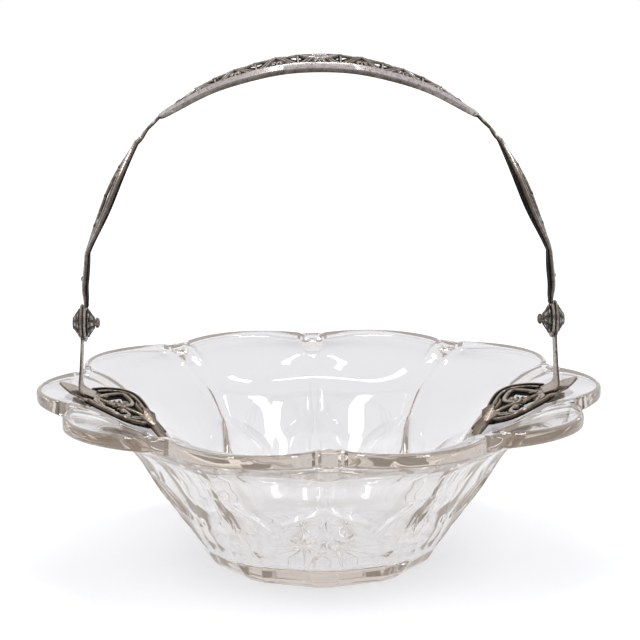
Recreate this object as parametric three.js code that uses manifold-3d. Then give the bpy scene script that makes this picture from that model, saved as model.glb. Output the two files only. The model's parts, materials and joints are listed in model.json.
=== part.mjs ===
// A cut-crystal basket: a ten-lobed glass bowl under a swinging handle of openwork silver.
// Lengths are millimetres. +Z is up, X runs from mount to mount, and the origin is the middle of
// the flat foot. Angles round the bowl start at the right-hand mount.
import * as THREE from 'three';
import { mergeVertices } from 'three/addons/utils/BufferGeometryUtils.js';
import Module from 'manifold-3d';

const wasm = await Module();
wasm.setup();

// Fits
const GAP = 0.3;
const SEAT_GAP = 0.5;
const OVERRUN = 1;
const INLAY = 0.2;
const WELD = 0.0001;

// Glass bowl
const LOBES = 10;
const BOWL_HEIGHT = 75;
const LOBE_RADIUS = 120;
const NOTCH_RADIUS = 110;
const FOOT_RADIUS = 46.5;
const LIP = 5;
const WALL = 8.5;
const FLOOR = 10;
const FLOOR_RADIUS = 38;
const RIM_BEVEL = 0.8;
const TAB_HALF = 3;
const TAB_RISE = 0.9;
const GROOVE_WIDTH = 3.4;
const GROOVE_DEPTH = 1.6;
const LEAF_WIDTH = 9.5;
const LEAF_DEPTH = 1.3;
const STAR_RADIUS = 34;
const STAR_VALLEY_RADIUS = 9;
const STAR_DEPTH = 1.8;
const STAR_RAYS = 2 * LOBES;

// Outside of the panels: share of the way from foot to rim in radius, then in height
const PANEL_SHARES = [
  [0, 0], [0.056, 0.1], [0.116, 0.2], [0.195, 0.35], [0.272, 0.471], [0.333, 0.586],
  [0.395, 0.7], [0.463, 0.779], [0.605, 0.858], [0.796, 0.948], [1, 1],
];
const OUTER_RING_SHARES = [0, 0.1, 0.2, 0.24, 0.31, 0.47, 0.56, 0.64, 0.74, 0.87, 1];
const INNER_RING_SHARES = [0.93, 0.82, 0.7, 0.56, 0.4, 0.22];
const FILLET_RING_SHARES = [0.55, 0.3];
const OUTER_COLUMN_SHARES = [0, 0.35, 0.7, 1];
const INNER_COLUMN_SHARES = [0, 0.34, 0.67, 1];
// Half width of the pillar at a notch, and of the shield facet under it, as shares of the rim's tab
const PILLAR_WIDTH_SHARES = [
  [0, 1.2], [0.1, 2.2], [0.2, 1.5], [0.24, 0.6], [0.31, 0.8], [0.47, 0.3], [0.7, 0.7], [1, 1],
];
const GROOVE_WIDTH_SHARES = [[0, 0.3], [0.47, 0.3], [0.85, 0.5], [1, 1]];
const RELIEF_SHARES = [[0, 0], [0.24, 0], [0.31, 0.35], [0.47, 0.3], [0.85, 0.5], [1, 1]];
const NOTCH_BLEND_SHARES = [0.56, 1];
const LIP_BLEND_SHARES = [0.4, 0.85];
const LEAF_FOOT_SHARE = 0.24;
const LEAF_TOP_SHARE = 0.47;
const LEAF_REACH_SHARE = 0.95;
const LEAF_STATION_SHARES = [-1.15, -0.4, 0.4, 1.15];

// Medallion mounts on the inside of the two side lobes
const MEDALLION_LENGTH = 51;
const MEDALLION_HALF_WIDTH = 23;
const MEDALLION_INSET = 8;
const PLATE = 1.3;
const TIP_CURL = 2.4;
const NECK_LENGTH = 17;
const NECK_WIDTH = 20;
const NECK_WIDTH_SHARES = [[0, 0.04], [0.3, 0.66], [0.5, 0.62], [0.78, 1], [1, 0.95]];
const BORDER_WIDTH = 3.2;
const BORDER_HEIGHT = 2.3;
const SCROLL_WIDTH = 2.1;
const SCROLL_HEIGHT = 1.8;
const CUFF_WIDTH = 5.5;
const CUFF_HEIGHT = 2.6;
const LEAFLET_WIDTH = 3.9;
const LEAFLET_HEIGHT = 1.7;
const LEAFLETS = 5;
const LEAFLET_FAN_DEGREES = 11;
// Paths on the plate: share of its length from the outer tip, then share of its half width
const BORDER_PATH_SHARES = [
  [0.265, 0.4], [0.33, 0.69], [0.44, 0.93], [0.57, 0.88], [0.69, 0.58], [0.76, 0.28],
];
const SCROLL_PATH_SHARES = [
  [0.335, 0.16], [0.385, 0.5], [0.46, 0.8], [0.57, 0.6], [0.6, 0.34], [0.53, 0.05],
];
const FROND_PATH_SHARES = [[0.75, 0.14], [0.7, 0.32], [0.65, 0.5], [0.61, 0.78]];
const STEM_PATH_SHARES = [[0.31, 0], [0.77, 0]];
const CUFF_PATH_SHARES = [[0.73, -0.46], [0.765, -0.24], [0.775, 0], [0.765, 0.24], [0.73, 0.46]];
const LEAFLET_ROOT_SHARE = 0.775;
const LEAFLET_WIDTH_SHARES = [[0, 0.55], [0.45, 1], [1, 0.14]];

// Fastening through the lip
const STUD_ALONG = 12;
const STUD_RADIUS = 1.5;
const STUD_CLEARANCE = 0.4;
const STUD_END = 1.4;
const WASHER_SEAT = 0.8;
const LEATHER_RADIUS = 4.6;
const LEATHER = 1.5;
const WASHER_RADIUS = 4.2;
const WASHER = 0.8;
const NUT_RADIUS = 3.9;
const NUT = 3;

// Pivots
const PIVOT_HEIGHT = 102.3;
const HALF_SPAN = 99.25;
const EYE_RADIUS = 8;
const PIN_RADIUS = 1.5;
const PIN_CLEARANCE = 0.3;
const STRAP = 1;
const STRAP_SEAT = 0.6;
const STRAP_FOOT_LENGTH = 6.5;
const STRAP_BASE_WIDTH = 13;
const STRAP_LIFT = 3;
const STRAP_WIDTH_SHARES = [[0, 0.82], [0.2, 0.95], [0.28, 1], [0.55, 0.66], [0.85, 0.55], [1, 0.62]];
const HANDLE_EYE = 1.2;
const ROSETTE_RADIUS = 6.2;
const ROSETTE_TOP_RADIUS = 2.5;
const ROSETTE_HEIGHT = 3.2;
const ROSETTE_PETALS = 10;
const ROSETTE_SCALLOP_SHARE = 0.08;
const ROSETTE_EDGE_SHARE = 0.25;
const ROSETTE_WAIST_SHARE = 0.4;
const KNOB_RADIUS = 2.2;
const KNOB_HEIGHT = 1.7;

// Handle
const HANDLE_RISE = 112.5;
const BAND = 1.5;
const CAMBER_RADIUS = 15.4;
const CENTER_HALF_WIDTH = 13;
const NECK_HALF_WIDTH = 2.7;
const RAIL_WIDTH = 3;
const RAIL_HEIGHT = 1.9;
const VINE_WIDTH = 2.3;
const VINE_WAVES = 8;
const CARTOUCHE_LENGTH = 15;
const CARTOUCHE_WIDTH = 11;
const BLADE_WIDTH = 5;
const ARM_HALF_WIDTH = 9.3;
const ARM_RAIL_WIDTH = 2.6;
const TONGUE_HALF_WIDTH = 5.2;
const TONGUE_BAND = 1.8;
const LINK_HALF_WIDTH = 3.4;
const LINK_BAR_WIDTH = 2.2;
// Crown of the arch: share of the half span, then share of the rise above the pivots
const ARCH_SHARES = [
  [1, 0], [1, 0.075], [1.008, 0.15], [0.985, 0.28], [0.938, 0.405], [0.88, 0.53],
  [0.802, 0.642], [0.703, 0.749], [0.582, 0.836], [0.452, 0.907], [0.306, 0.957], [0.155, 0.99],
];
// Shares of the whole arch where one stretch of the handle gives way to the next
const TONGUE_END_SHARE = 0.088;
const ARM_END_SHARE = 0.242;
const NECK_SHARE = 0.288;
const BULGE_EXPONENT = 0.4;
const BOW_EXPONENT = 0.6;
const BLADE_REACH_SHARE = 0.42;
const BLADE_TIP_SHARE = 0.15;
const LINK_SPREAD_SHARE = 0.25;
const BAR_BEVEL_SHARE = 0.35;

// Counts of sides round the turned forms, and of steps in tables and along the drawn forms
const EYE_SIDES = 24;
const WASHER_SIDES = 16;
const BORE_SIDES = 12;
const NUT_SIDES = 6;
const STATIONS = {
  innerRun: 120, panel: 120, arch: 600,
  neck: 4, cuff: 4, stem: 3, border: 8, scroll: 8, frond: 2, leaflet: 2, strap: 10,
  rail: 20, vine: 40, cartouche: 14, blade: 2, tongue: 6, armRail: 8, armBar: 4, link: 8,
};

const HALF_LOBE = Math.PI / LOBES;
const AXES = 3;
const TETRAHEDRON_SHARE = 1 / 6;
const MIDDLE_SHARE = 0.5;
const GLASS = { color: 0xeef0ee, roughness: 0.03, metalness: 0 };
const SILVER = { color: 0x8c877e, roughness: 0.34, metalness: 1 };
const DARK_SILVER = { color: 0x6f6a62, roughness: 0.4, metalness: 1 };
const BRASS = { color: 0x9a8450, roughness: 0.4, metalness: 1 };
const LEATHER_FINISH = { color: 0x5a4030, roughness: 0.8, metalness: 0 };

// Value of a table of [share, value] pairs at a share, straight between its rows.
function tableValue(table, share) {
  let row = 1;
  while (row < table.length - 1 && table[row][0] < share) row += 1;
  const [fromShare, fromValue] = table[row - 1];
  const [toShare, toValue] = table[row];
  return THREE.MathUtils.mapLinear(share, fromShare, toShare, fromValue, toValue);
}

// Evenly spaced shares from 0 to 1.
function steps(count) {
  return Array.from({ length: count + 1 }, (_, step) => step / count);
}

// A closed body from rings of points: walls from ring to ring and a fan over each end.
function loftGeometry(rings, closedAlong = false) {
  const sides = rings[0].length;
  const positions = rings.flat().flatMap((point) => [point.x, point.y, point.z]);
  const triangles = [];
  const last = closedAlong ? rings.length : rings.length - 1;
  for (let ring = 0; ring < last; ring += 1) {
    const next = (ring + 1) % rings.length;
    for (let side = 0; side < sides; side += 1) {
      const across = (side + 1) % sides;
      const [a, b] = [ring * sides + side, ring * sides + across];
      const [c, d] = [next * sides + side, next * sides + across];
      triangles.push(a, b, d, a, d, c);
    }
  }
  if (!closedAlong) {
    for (const ring of [0, rings.length - 1]) {
      const middle = new THREE.Vector3();
      rings[ring].forEach((point) => middle.addScaledVector(point, 1 / sides));
      const hub = positions.length / AXES;
      positions.push(middle.x, middle.y, middle.z);
      for (let side = 0; side < sides; side += 1) {
        const [a, b] = [ring * sides + side, ring * sides + (side + 1) % sides];
        triangles.push(...(ring === 0 ? [b, a, hub] : [a, b, hub]));
      }
    }
  }
  const geometry = new THREE.BufferGeometry();
  geometry.setAttribute('position', new THREE.Float32BufferAttribute(positions, 3));
  geometry.setIndex(triangles);
  return geometry;
}

// Signed volume of an indexed geometry, negative where its faces point inwards.
function signedVolume(vertices, triangles) {
  const [a, b, c] = [new THREE.Vector3(), new THREE.Vector3(), new THREE.Vector3()];
  let volume = 0;
  for (let corner = 0; corner < triangles.length; corner += 3) {
    a.fromArray(vertices, 3 * triangles[corner]);
    b.fromArray(vertices, 3 * triangles[corner + 1]);
    c.fromArray(vertices, 3 * triangles[corner + 2]);
    volume += a.dot(b.cross(c)) * TETRAHEDRON_SHARE;
  }
  return volume;
}

// A solid for joining and cutting, with its faces turned outwards.
function solid(geometry, matrix) {
  const shape = geometry.clone();
  if (matrix) shape.applyMatrix4(matrix);
  for (const name of Object.keys(shape.attributes)) {
    if (name !== 'position') shape.deleteAttribute(name);
  }
  const merged = mergeVertices(shape, WELD);
  const vertProperties = new Float32Array(merged.attributes.position.array);
  const triVerts = new Uint32Array(merged.index.array);
  if (signedVolume(vertProperties, triVerts) < 0) triVerts.reverse();
  return new wasm.Manifold(new wasm.Mesh({ numProp: 3, vertProperties, triVerts }));
}

// All solids of a list joined to one.
function joined(solids) {
  return solids.reduce((whole, piece) => whole.add(piece));
}

// Geometry of a joined or cut solid.
function geometryOf(body) {
  const mesh = body.getMesh();
  const geometry = new THREE.BufferGeometry();
  geometry.setAttribute('position', new THREE.Float32BufferAttribute(mesh.vertProperties, 3));
  geometry.setIndex(new THREE.Uint32BufferAttribute(mesh.triVerts, 1));
  return geometry;
}

// A named piece with its own finish.
function piece(name, geometry, finish) {
  const mesh = new THREE.Mesh(geometry, new THREE.MeshStandardMaterial(finish));
  mesh.name = name;
  return mesh;
}

// A bar that lies on a curved sheet. place(along, across, lift) gives a point of the sheet, and path
// is a list of [along, across]. Width and height are lengths, or functions of the share of the path,
// and base lifts the underside.
function bar(place, path, width, height, { base = 0, closed = false } = {}) {
  const last = path.length - 1;
  const sizeAt = (size, share) => (typeof size === 'function' ? size(share) : size);
  const rings = path.map(([along, across], index) => {
    const before = path[closed ? (index + last) % path.length : Math.max(index - 1, 0)];
    const after = path[closed ? (index + 1) % path.length : Math.min(index + 1, last)];
    const way = new THREE.Vector2(after[0] - before[0], after[1] - before[1]).normalize();
    const half = sizeAt(width, index / last) / 2;
    const top = sizeAt(height, index / last);
    const crown = half - Math.min(half, top) * BAR_BEVEL_SHARE;
    const section = [[-half, base], [half, base], [crown, top], [-crown, top]];
    return section.map(([aside, lift]) => (
      place(along - way.y * aside, across + way.x * aside, lift)
    ));
  });
  return solid(loftGeometry(rings, closed));
}

// A smooth path through [share, share] points on a sheet of the given length and half width.
function smoothPath(shares, length, halfWidth, count) {
  const points = shares.map(([along, across]) => new THREE.Vector2(along * length, across * halfWidth));
  const curve = new THREE.SplineCurve(points);
  return curve.getSpacedPoints(count).map((point) => [point.x, point.y]);
}

// Outside of the bowl at the middle of a panel, as radius and height, by share of its run.
const panelCurve = new THREE.SplineCurve(PANEL_SHARES.map(([radiusShare, heightShare]) => new THREE.Vector2(
  THREE.MathUtils.lerp(FOOT_RADIUS, LOBE_RADIUS, radiusShare),
  heightShare * (BOWL_HEIGHT - LIP),
)));

const panelTable = steps(STATIONS.panel).map((share) => panelCurve.getPointAt(share));

// Thickness of the glass: the wall below, thinning to the lip.
function glassThickness(share) {
  const blend = THREE.MathUtils.smoothstep(share, ...LIP_BLEND_SHARES);
  return THREE.MathUtils.lerp(WALL, LIP, blend);
}

// Normal of the panel curve that points into the glass.
function glassNormal(share) {
  const tangent = panelCurve.getTangentAt(share);
  return new THREE.Vector2(-tangent.y, tangent.x);
}

// Inside of the bowl at the middle of a lobe, as radius and height.
function innerPoint(share) {
  return panelCurve.getPointAt(share).addScaledVector(glassNormal(share), glassThickness(share));
}

// Radius at an angle from a lobe's middle, given the radii at its middle and at its notches.
function lobeRadius(middle, notch, angle) {
  return THREE.MathUtils.lerp(middle, notch, (angle / HALF_LOBE) ** 2);
}

// How far the outline has turned from a ten-sided body below to the lobed rim above.
function notchBlend(share) {
  return THREE.MathUtils.smoothstep(share, ...NOTCH_BLEND_SHARES);
}

// Height of the panel curve at a radius, so that the lip's underside is the same all round.
function panelHeight(radius) {
  const row = panelTable.findIndex((point) => point.x >= radius);
  if (row < 1) return row < 0 ? panelTable.at(-1).y : 0;
  const [below, above] = [panelTable[row - 1], panelTable[row]];
  return THREE.MathUtils.mapLinear(radius, below.x, above.x, below.y, above.y);
}

// Half a lobe of the outside at one share of the run: [angle, radius, height] from middle to notch.
// The panel is flat below and bowed above, and the groove by the pillar fades out over the shield.
function outerHalfLobe(share) {
  const { x: middle, y: height } = panelCurve.getPointAt(share);
  const blend = notchBlend(share);
  const sideRadius = (angle) => THREE.MathUtils.lerp(
    middle / Math.cos(angle),
    lobeRadius(middle, middle * NOTCH_RADIUS / LOBE_RADIUS, angle),
    blend,
  );
  const notch = sideRadius(HALF_LOBE);
  const tab = TAB_HALF * tableValue(PILLAR_WIDTH_SHARES, share);
  const groove = GROOVE_WIDTH * tableValue(GROOVE_WIDTH_SHARES, share);
  const relief = tableValue(RELIEF_SHARES, share);
  const tabAngle = HALF_LOBE - tab / notch;
  const grooveAngle = HALF_LOBE - (tab + groove / 2) / notch;
  const panelEnd = HALF_LOBE - (tab + groove) / notch;
  const tabRadius = sideRadius(tabAngle) + TAB_RISE * relief;
  const outline = [
    ...OUTER_COLUMN_SHARES.map((column) => [column * panelEnd, sideRadius(column * panelEnd)]),
    [grooveAngle, sideRadius(grooveAngle) - GROOVE_DEPTH * relief],
    [tabAngle, tabRadius],
    [HALF_LOBE, tabRadius * Math.cos(HALF_LOBE - tabAngle)],
  ];
  return outline.map(([angle, radius]) => [
    angle, radius, THREE.MathUtils.lerp(height, panelHeight(sideRadius(angle)), blend),
  ]);
}

// Half a lobe of the inside at one height, plain and smooth.
function innerHalfLobe(middle, height, blend) {
  const notch = middle * THREE.MathUtils.lerp(1, NOTCH_RADIUS / LOBE_RADIUS, blend);
  return INNER_COLUMN_SHARES.map((column) => [
    column * HALF_LOBE, lobeRadius(middle, notch, column * HALF_LOBE), height,
  ]);
}

// A full ring of points from half a lobe.
function lobedRing(halfLobe) {
  const back = halfLobe.slice(1, -1).reverse().map(([angle, radius, height]) => [
    2 * HALF_LOBE - angle, radius, height,
  ]);
  const ring = [];
  for (let lobe = 0; lobe < LOBES; lobe += 1) {
    for (const [angle, radius, height] of [...halfLobe, ...back]) {
      const turn = angle + 2 * lobe * HALF_LOBE;
      ring.push(new THREE.Vector3(radius * Math.cos(turn), radius * Math.sin(turn), height));
    }
  }
  return ring;
}

// The outside of the bowl as a full body, from the foot over the edge of the lip to its top.
function outerBody() {
  const rings = OUTER_RING_SHARES.map((share) => lobedRing(outerHalfLobe(share)));
  const edge = (height, inset) => lobedRing(outerHalfLobe(1).map(([angle, radius]) => [
    angle, radius - inset, height,
  ]));
  rings.push(edge(BOWL_HEIGHT - RIM_BEVEL, 0), edge(BOWL_HEIGHT, RIM_BEVEL));
  return solid(loftGeometry(rings));
}

// The hollow of the bowl: from over the rim down the inside, round the fillet and over the floor.
function hollow() {
  const rim = innerPoint(1);
  const brim = rim.clone().sub(innerPoint(INNER_RING_SHARES[0])).setLength(2 * OVERRUN).add(rim);
  const lowest = innerPoint(INNER_RING_SHARES.at(-1));
  const [outwardShare, upwardShare] = FILLET_RING_SHARES;
  const filletRadius = THREE.MathUtils.lerp(FLOOR_RADIUS, lowest.x, outwardShare);
  const filletHeight = THREE.MathUtils.lerp(FLOOR, lowest.y, upwardShare);
  const wall = INNER_RING_SHARES.map((share) => {
    const point = innerPoint(share);
    return lobedRing(innerHalfLobe(point.x, point.y, notchBlend(share)));
  });
  return solid(loftGeometry([
    lobedRing(innerHalfLobe(brim.x, BOWL_HEIGHT + 2 * OVERRUN, 1)),
    lobedRing(innerHalfLobe(brim.x, brim.y, 1)),
    ...wall,
    lobedRing(innerHalfLobe(filletRadius, filletHeight, 0)),
    lobedRing(innerHalfLobe(FLOOR_RADIUS, FLOOR, 0)),
  ]));
}

// A star of V-shaped cuts that meet in a point under the middle of the base.
function starCutter() {
  const outline = (height) => Array.from({ length: 2 * STAR_RAYS }, (_, index) => {
    const radius = index % 2 === 0 ? STAR_RADIUS : STAR_VALLEY_RADIUS;
    const turn = Math.PI * index / STAR_RAYS;
    return new THREE.Vector3(radius * Math.cos(turn), radius * Math.sin(turn), height);
  });
  const star = loftGeometry([outline(-OVERRUN), outline(0)]);
  const hub = star.attributes.position.count - 1;
  star.attributes.position.setZ(hub, STAR_DEPTH);
  return solid(star);
}

// One leaf cut across a panel, from the top of a pillar's waist down to the middle of the panel: a
// shallow V, deepest halfway, that runs out in a point at both ends.
function leafCutter(lobe, hand) {
  const onPanel = (share, aside) => {
    const { x: radius, y: height } = panelCurve.getPointAt(share);
    return new THREE.Vector3(radius, hand * aside * radius * Math.tan(HALF_LOBE), height);
  };
  const foot = onPanel(LEAF_FOOT_SHARE, 0);
  const top = onPanel(LEAF_TOP_SHARE, LEAF_REACH_SHARE);
  const middle = foot.clone().lerp(top, MIDDLE_SHARE);
  const halfWay = top.clone().sub(middle);
  const inward = glassNormal((LEAF_FOOT_SHARE + LEAF_TOP_SHARE) / 2);
  const outward = new THREE.Vector3(-inward.x, 0, -inward.y);
  const side = new THREE.Vector3().crossVectors(halfWay, outward).normalize();
  const rings = LEAF_STATION_SHARES.map((share) => {
    const depth = LEAF_DEPTH * (1 - share * share);
    const half = LEAF_WIDTH / 2 * (depth + OVERRUN) / LEAF_DEPTH;
    const at = (aside, lift) => middle.clone().addScaledVector(halfWay, share)
      .addScaledVector(side, aside).addScaledVector(outward, lift);
    return [at(0, -depth), at(half, OVERRUN), at(-half, OVERRUN)];
  });
  return solid(loftGeometry(rings), new THREE.Matrix4().makeRotationZ(2 * lobe * HALF_LOBE));
}

// Run of the inside from the rim down, as a table of [run, share of the panel curve].
const innerRun = (() => {
  const table = [[0, 1]];
  for (let step = 1; step <= STATIONS.innerRun; step += 1) {
    const share = 1 - step / STATIONS.innerRun;
    const before = innerPoint(table.at(-1)[1]);
    table.push([table.at(-1)[0] + before.distanceTo(innerPoint(share)), share]);
  }
  return table;
})();

const studShare = tableValue(innerRun, MEDALLION_INSET + STUD_ALONG);

// Axis of the stud of one mount: from under the lip up into the bowl.
function studFrame(side) {
  const foot = panelCurve.getPointAt(studShare);
  const normal = glassNormal(studShare);
  const origin = new THREE.Vector3(side * foot.x, 0, foot.y);
  const up = new THREE.Vector3(side * normal.x, 0, normal.y);
  const turn = new THREE.Quaternion().setFromUnitVectors(new THREE.Vector3(0, 0, 1), up);
  return { origin, turn };
}

// A round solid turned about the +Z axis from [radius, height] corners.
function turned(corners, segments) {
  const profile = corners.map(([radius, height]) => new THREE.Vector2(radius, height));
  return new THREE.LatheGeometry(profile, segments).rotateX(Math.PI / 2);
}

// A ring or a disc with a bore, standing on its origin.
function ringCorners(bore, radius, height) {
  return [[bore, 0], [radius, 0], [radius, height], [bore, height], [bore, 0]];
}

// A rod about +Z from one height to another.
function rod(radius, from, to) {
  return turned([[0, from], [radius, from], [radius, to], [0, to]], BORE_SIDES);
}

// A stud's bore through glass or plate.
function studBore(side, radius) {
  const { origin, turn } = studFrame(side);
  const matrix = new THREE.Matrix4().compose(origin, turn, new THREE.Vector3(1, 1, 1));
  const reach = WALL + BORDER_HEIGHT + SEAT_GAP;
  return solid(rod(radius, -reach, 2 * reach), matrix);
}

// The bowl with its hollow, its star, its zigzag of leaf cuts and the bores for the mounts.
function glassBowl() {
  let bowl = outerBody().subtract(hollow()).subtract(starCutter());
  for (let lobe = 0; lobe < LOBES; lobe += 1) {
    for (const hand of [1, -1]) {
      bowl = bowl.subtract(leafCutter(lobe, hand));
    }
  }
  for (const side of [1, -1]) {
    bowl = bowl.subtract(studBore(side, STUD_RADIUS + 2 * STUD_CLEARANCE));
  }
  return piece('glass_bowl', geometryOf(bowl), GLASS);
}

// A point over the inside of a side lobe. Along runs down from the outer tip of the medallion.
function onGlass(side, along, across, lift) {
  const share = tableValue(innerRun, MEDALLION_INSET + along);
  const middle = innerPoint(share);
  const notch = THREE.MathUtils.lerp(middle.x, middle.x * NOTCH_RADIUS / LOBE_RADIUS, notchBlend(share));
  const angle = across / middle.x;
  const normal = glassNormal(share);
  const radius = lobeRadius(middle.x, notch, angle) + normal.x * lift;
  const height = middle.y + normal.y * lift;
  return new THREE.Vector3(side * radius * Math.cos(angle), radius * Math.sin(angle), height);
}

// The openwork plate of one mount. Outside the stud its tip curls up off the glass.
function medallion(name, side) {
  const place = (along, across, lift) => onGlass(side, along, across, SEAT_GAP + lift);
  const drawn = (shares, count, mirror = 1) => (
    smoothPath(shares, MEDALLION_LENGTH, mirror * MEDALLION_HALF_WIDTH, count)
  );
  const curled = (along, across, lift) => {
    const outside = Math.max(0, 1 - along / STUD_ALONG);
    return place(along, across, lift + TIP_CURL * outside * outside);
  };
  const neck = steps(STATIONS.neck).map((share) => [share * NECK_LENGTH, 0]);
  const neckWidth = (share) => NECK_WIDTH * tableValue(NECK_WIDTH_SHARES, share);
  const members = [
    bar(curled, neck, neckWidth, PLATE),
    bar(place, drawn(CUFF_PATH_SHARES, STATIONS.cuff), CUFF_WIDTH, CUFF_HEIGHT),
  ];
  const scroll = (shares, count, mirror) => members.push(
    bar(place, drawn(shares, count, mirror), SCROLL_WIDTH, SCROLL_HEIGHT, { base: 2 * INLAY }),
  );
  scroll(STEM_PATH_SHARES, STATIONS.stem);
  for (const mirror of [1, -1]) {
    const border = drawn(BORDER_PATH_SHARES, STATIONS.border, mirror);
    members.push(bar(place, border, BORDER_WIDTH, BORDER_HEIGHT, { base: INLAY }));
    scroll(SCROLL_PATH_SHARES, STATIONS.scroll, mirror);
    scroll(FROND_PATH_SHARES, STATIONS.frond, mirror);
  }
  for (let leaflet = 0; leaflet < LEAFLETS; leaflet += 1) members.push(leafletBar(place, leaflet));
  const plate = joined(members).subtract(studBore(side, STUD_RADIUS + STUD_CLEARANCE));
  return piece(name, geometryOf(plate), SILVER);
}

// One leaflet of the palmette at the inner end of a medallion, counted from one side.
function leafletBar(place, leaflet) {
  const offset = leaflet - (LEAFLETS - 1) / 2;
  const turn = offset * THREE.MathUtils.degToRad(LEAFLET_FAN_DEGREES);
  const root = [LEAFLET_ROOT_SHARE * MEDALLION_LENGTH, offset * LEAFLET_WIDTH / 2];
  const reach = (MEDALLION_LENGTH - root[0]) * Math.cos(turn);
  const path = steps(STATIONS.leaflet).map((share) => [
    root[0] + share * reach * Math.cos(turn), root[1] + share * reach * Math.sin(turn),
  ]);
  const width = (share) => LEAFLET_WIDTH * tableValue(LEAFLET_WIDTH_SHARES, share);
  return bar(place, path, width, LEAFLET_HEIGHT, { base: INLAY });
}

// The strap of one mount: a foot on the plate over the stud, a bend, and a blade that rises to the
// strap's eye outside the handle.
function strap(name, side) {
  const lift = SEAT_GAP + PLATE + STRAP_SEAT;
  const footEnd = onGlass(1, STUD_ALONG + STRAP_FOOT_LENGTH / 2, 0, lift);
  const footMiddle = onGlass(1, STUD_ALONG, 0, lift);
  const bend = onGlass(1, STUD_ALONG - STRAP_FOOT_LENGTH / 2, 0, lift);
  const eyeFace = HALF_SPAN + GAP;
  const eyeJoin = new THREE.Vector2(eyeFace + STRAP, PIVOT_HEIGHT - EYE_RADIUS + STRAP);
  const bendTop = new THREE.Vector2(bend.x, bend.z + STRAP_LIFT);
  const blade = new THREE.CurvePath();
  const flat = (point) => new THREE.Vector2(point.x, point.z);
  blade.add(new THREE.LineCurve(flat(footEnd), flat(footMiddle)));
  blade.add(new THREE.QuadraticBezierCurve(flat(footMiddle), flat(bend), bendTop));
  blade.add(new THREE.LineCurve(bendTop, eyeJoin));
  const rings = steps(STATIONS.strap).map((share) => {
    const point = blade.getPointAt(share);
    const tangent = blade.getTangentAt(share);
    const normal = new THREE.Vector2(-tangent.y, tangent.x);
    const half = STRAP_BASE_WIDTH * tableValue(STRAP_WIDTH_SHARES, share) / 2;
    return [[-half, 0], [half, 0], [half, STRAP], [-half, STRAP]].map(([across, depth]) => (
      new THREE.Vector3(side * (point.x + normal.x * depth), across, point.y + normal.y * depth)
    ));
  });
  const eye = turned(ringCorners(0, EYE_RADIUS, STRAP), EYE_SIDES);
  const toEye = alongX(side, eyeFace);
  const bore = solid(rod(PIN_RADIUS + PIN_CLEARANCE, -OVERRUN, STRAP + OVERRUN), toEye);
  const body = solid(loftGeometry(rings)).add(solid(eye, toEye)).subtract(bore);
  return piece(name, geometryOf(body), SILVER);
}

// Turns +Z to point outwards along the pivot axis, with its origin at a distance from the middle.
function alongX(side, distance) {
  const turn = new THREE.Matrix4().makeRotationY(side * Math.PI / 2);
  return new THREE.Matrix4().makeTranslation(side * distance, 0, PIVOT_HEIGHT).multiply(turn);
}

// Puts a turned piece on the pivot axis, facing outwards.
function onPivot(mesh, side, distance) {
  mesh.applyMatrix4(alongX(side, distance));
  return mesh;
}

// A petalled cone. It stands on its wide face and has a bore from there to a given depth.
function rosetteGeometry(boreDepth) {
  const bore = PIN_RADIUS + PIN_CLEARANCE;
  const through = boreDepth >= ROSETTE_HEIGHT;
  const outside = [
    [ROSETTE_RADIUS, 0],
    [ROSETTE_RADIUS, ROSETTE_HEIGHT * ROSETTE_EDGE_SHARE],
    [THREE.MathUtils.lerp(ROSETTE_RADIUS, ROSETTE_TOP_RADIUS, ROSETTE_WAIST_SHARE), ROSETTE_HEIGHT / 2],
    [ROSETTE_TOP_RADIUS, ROSETTE_HEIGHT],
  ];
  const start = through ? [] : [[0, boreDepth], [bore, boreDepth], [bore, 0]];
  const end = through ? [[bore, ROSETTE_HEIGHT], [bore, 0], [ROSETTE_RADIUS, 0]] : [[0, ROSETTE_HEIGHT]];
  const geometry = turned([...start, ...outside, ...end], 2 * ROSETTE_PETALS);
  const position = geometry.attributes.position;
  for (let index = 0; index < position.count; index += 1) {
    const [x, y, z] = [position.getX(index), position.getY(index), position.getZ(index)];
    const petal = Math.cos(ROSETTE_PETALS * Math.atan2(y, x));
    const outer = Math.hypot(x, y) > (ROSETTE_TOP_RADIUS + ROSETTE_RADIUS) / 2;
    const factor = outer ? 1 + ROSETTE_SCALLOP_SHARE * (petal - 1) / 2 : 1;
    position.setXYZ(index, x * factor, y * factor, z);
  }
  return geometryOf(solid(geometry));
}

// All turned pieces of one pivot, from the outer rosette to the knob at the inner end of the pin.
function pivotPieces(sideName, side) {
  const outerFace = HALF_SPAN + GAP + STRAP + GAP;
  const innerFace = HALF_SPAN - HANDLE_EYE - GAP;
  const knobFace = innerFace - ROSETTE_HEIGHT - GAP;
  const knobDepth = KNOB_HEIGHT / 2;
  const pinOuter = outerFace + ROSETTE_HEIGHT / 2;
  const pinInner = knobFace - knobDepth + GAP;
  const bore = PIN_RADIUS + PIN_CLEARANCE / 2;
  const knob = turned([
    [0, -KNOB_HEIGHT], [KNOB_RADIUS / 2, -KNOB_HEIGHT], [KNOB_RADIUS, -KNOB_HEIGHT / 2],
    [KNOB_RADIUS, 0], [bore, 0], [bore, -knobDepth], [0, -knobDepth],
  ], BORE_SIDES);
  const outer = rosetteGeometry(ROSETTE_HEIGHT / 2 + GAP);
  const inner = rosetteGeometry(ROSETTE_HEIGHT).rotateX(Math.PI);
  const pin = rod(PIN_RADIUS, pinInner - HALF_SPAN, pinOuter - HALF_SPAN);
  return [
    onPivot(piece(`${sideName}_outer_rosette`, outer, DARK_SILVER), side, outerFace),
    onPivot(piece(`${sideName}_inner_rosette`, inner, DARK_SILVER), side, innerFace),
    onPivot(piece(`${sideName}_pivot_pin`, pin, SILVER), side, HALF_SPAN),
    onPivot(piece(`${sideName}_pivot_knob`, knob, SILVER), side, knobFace),
  ];
}

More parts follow.
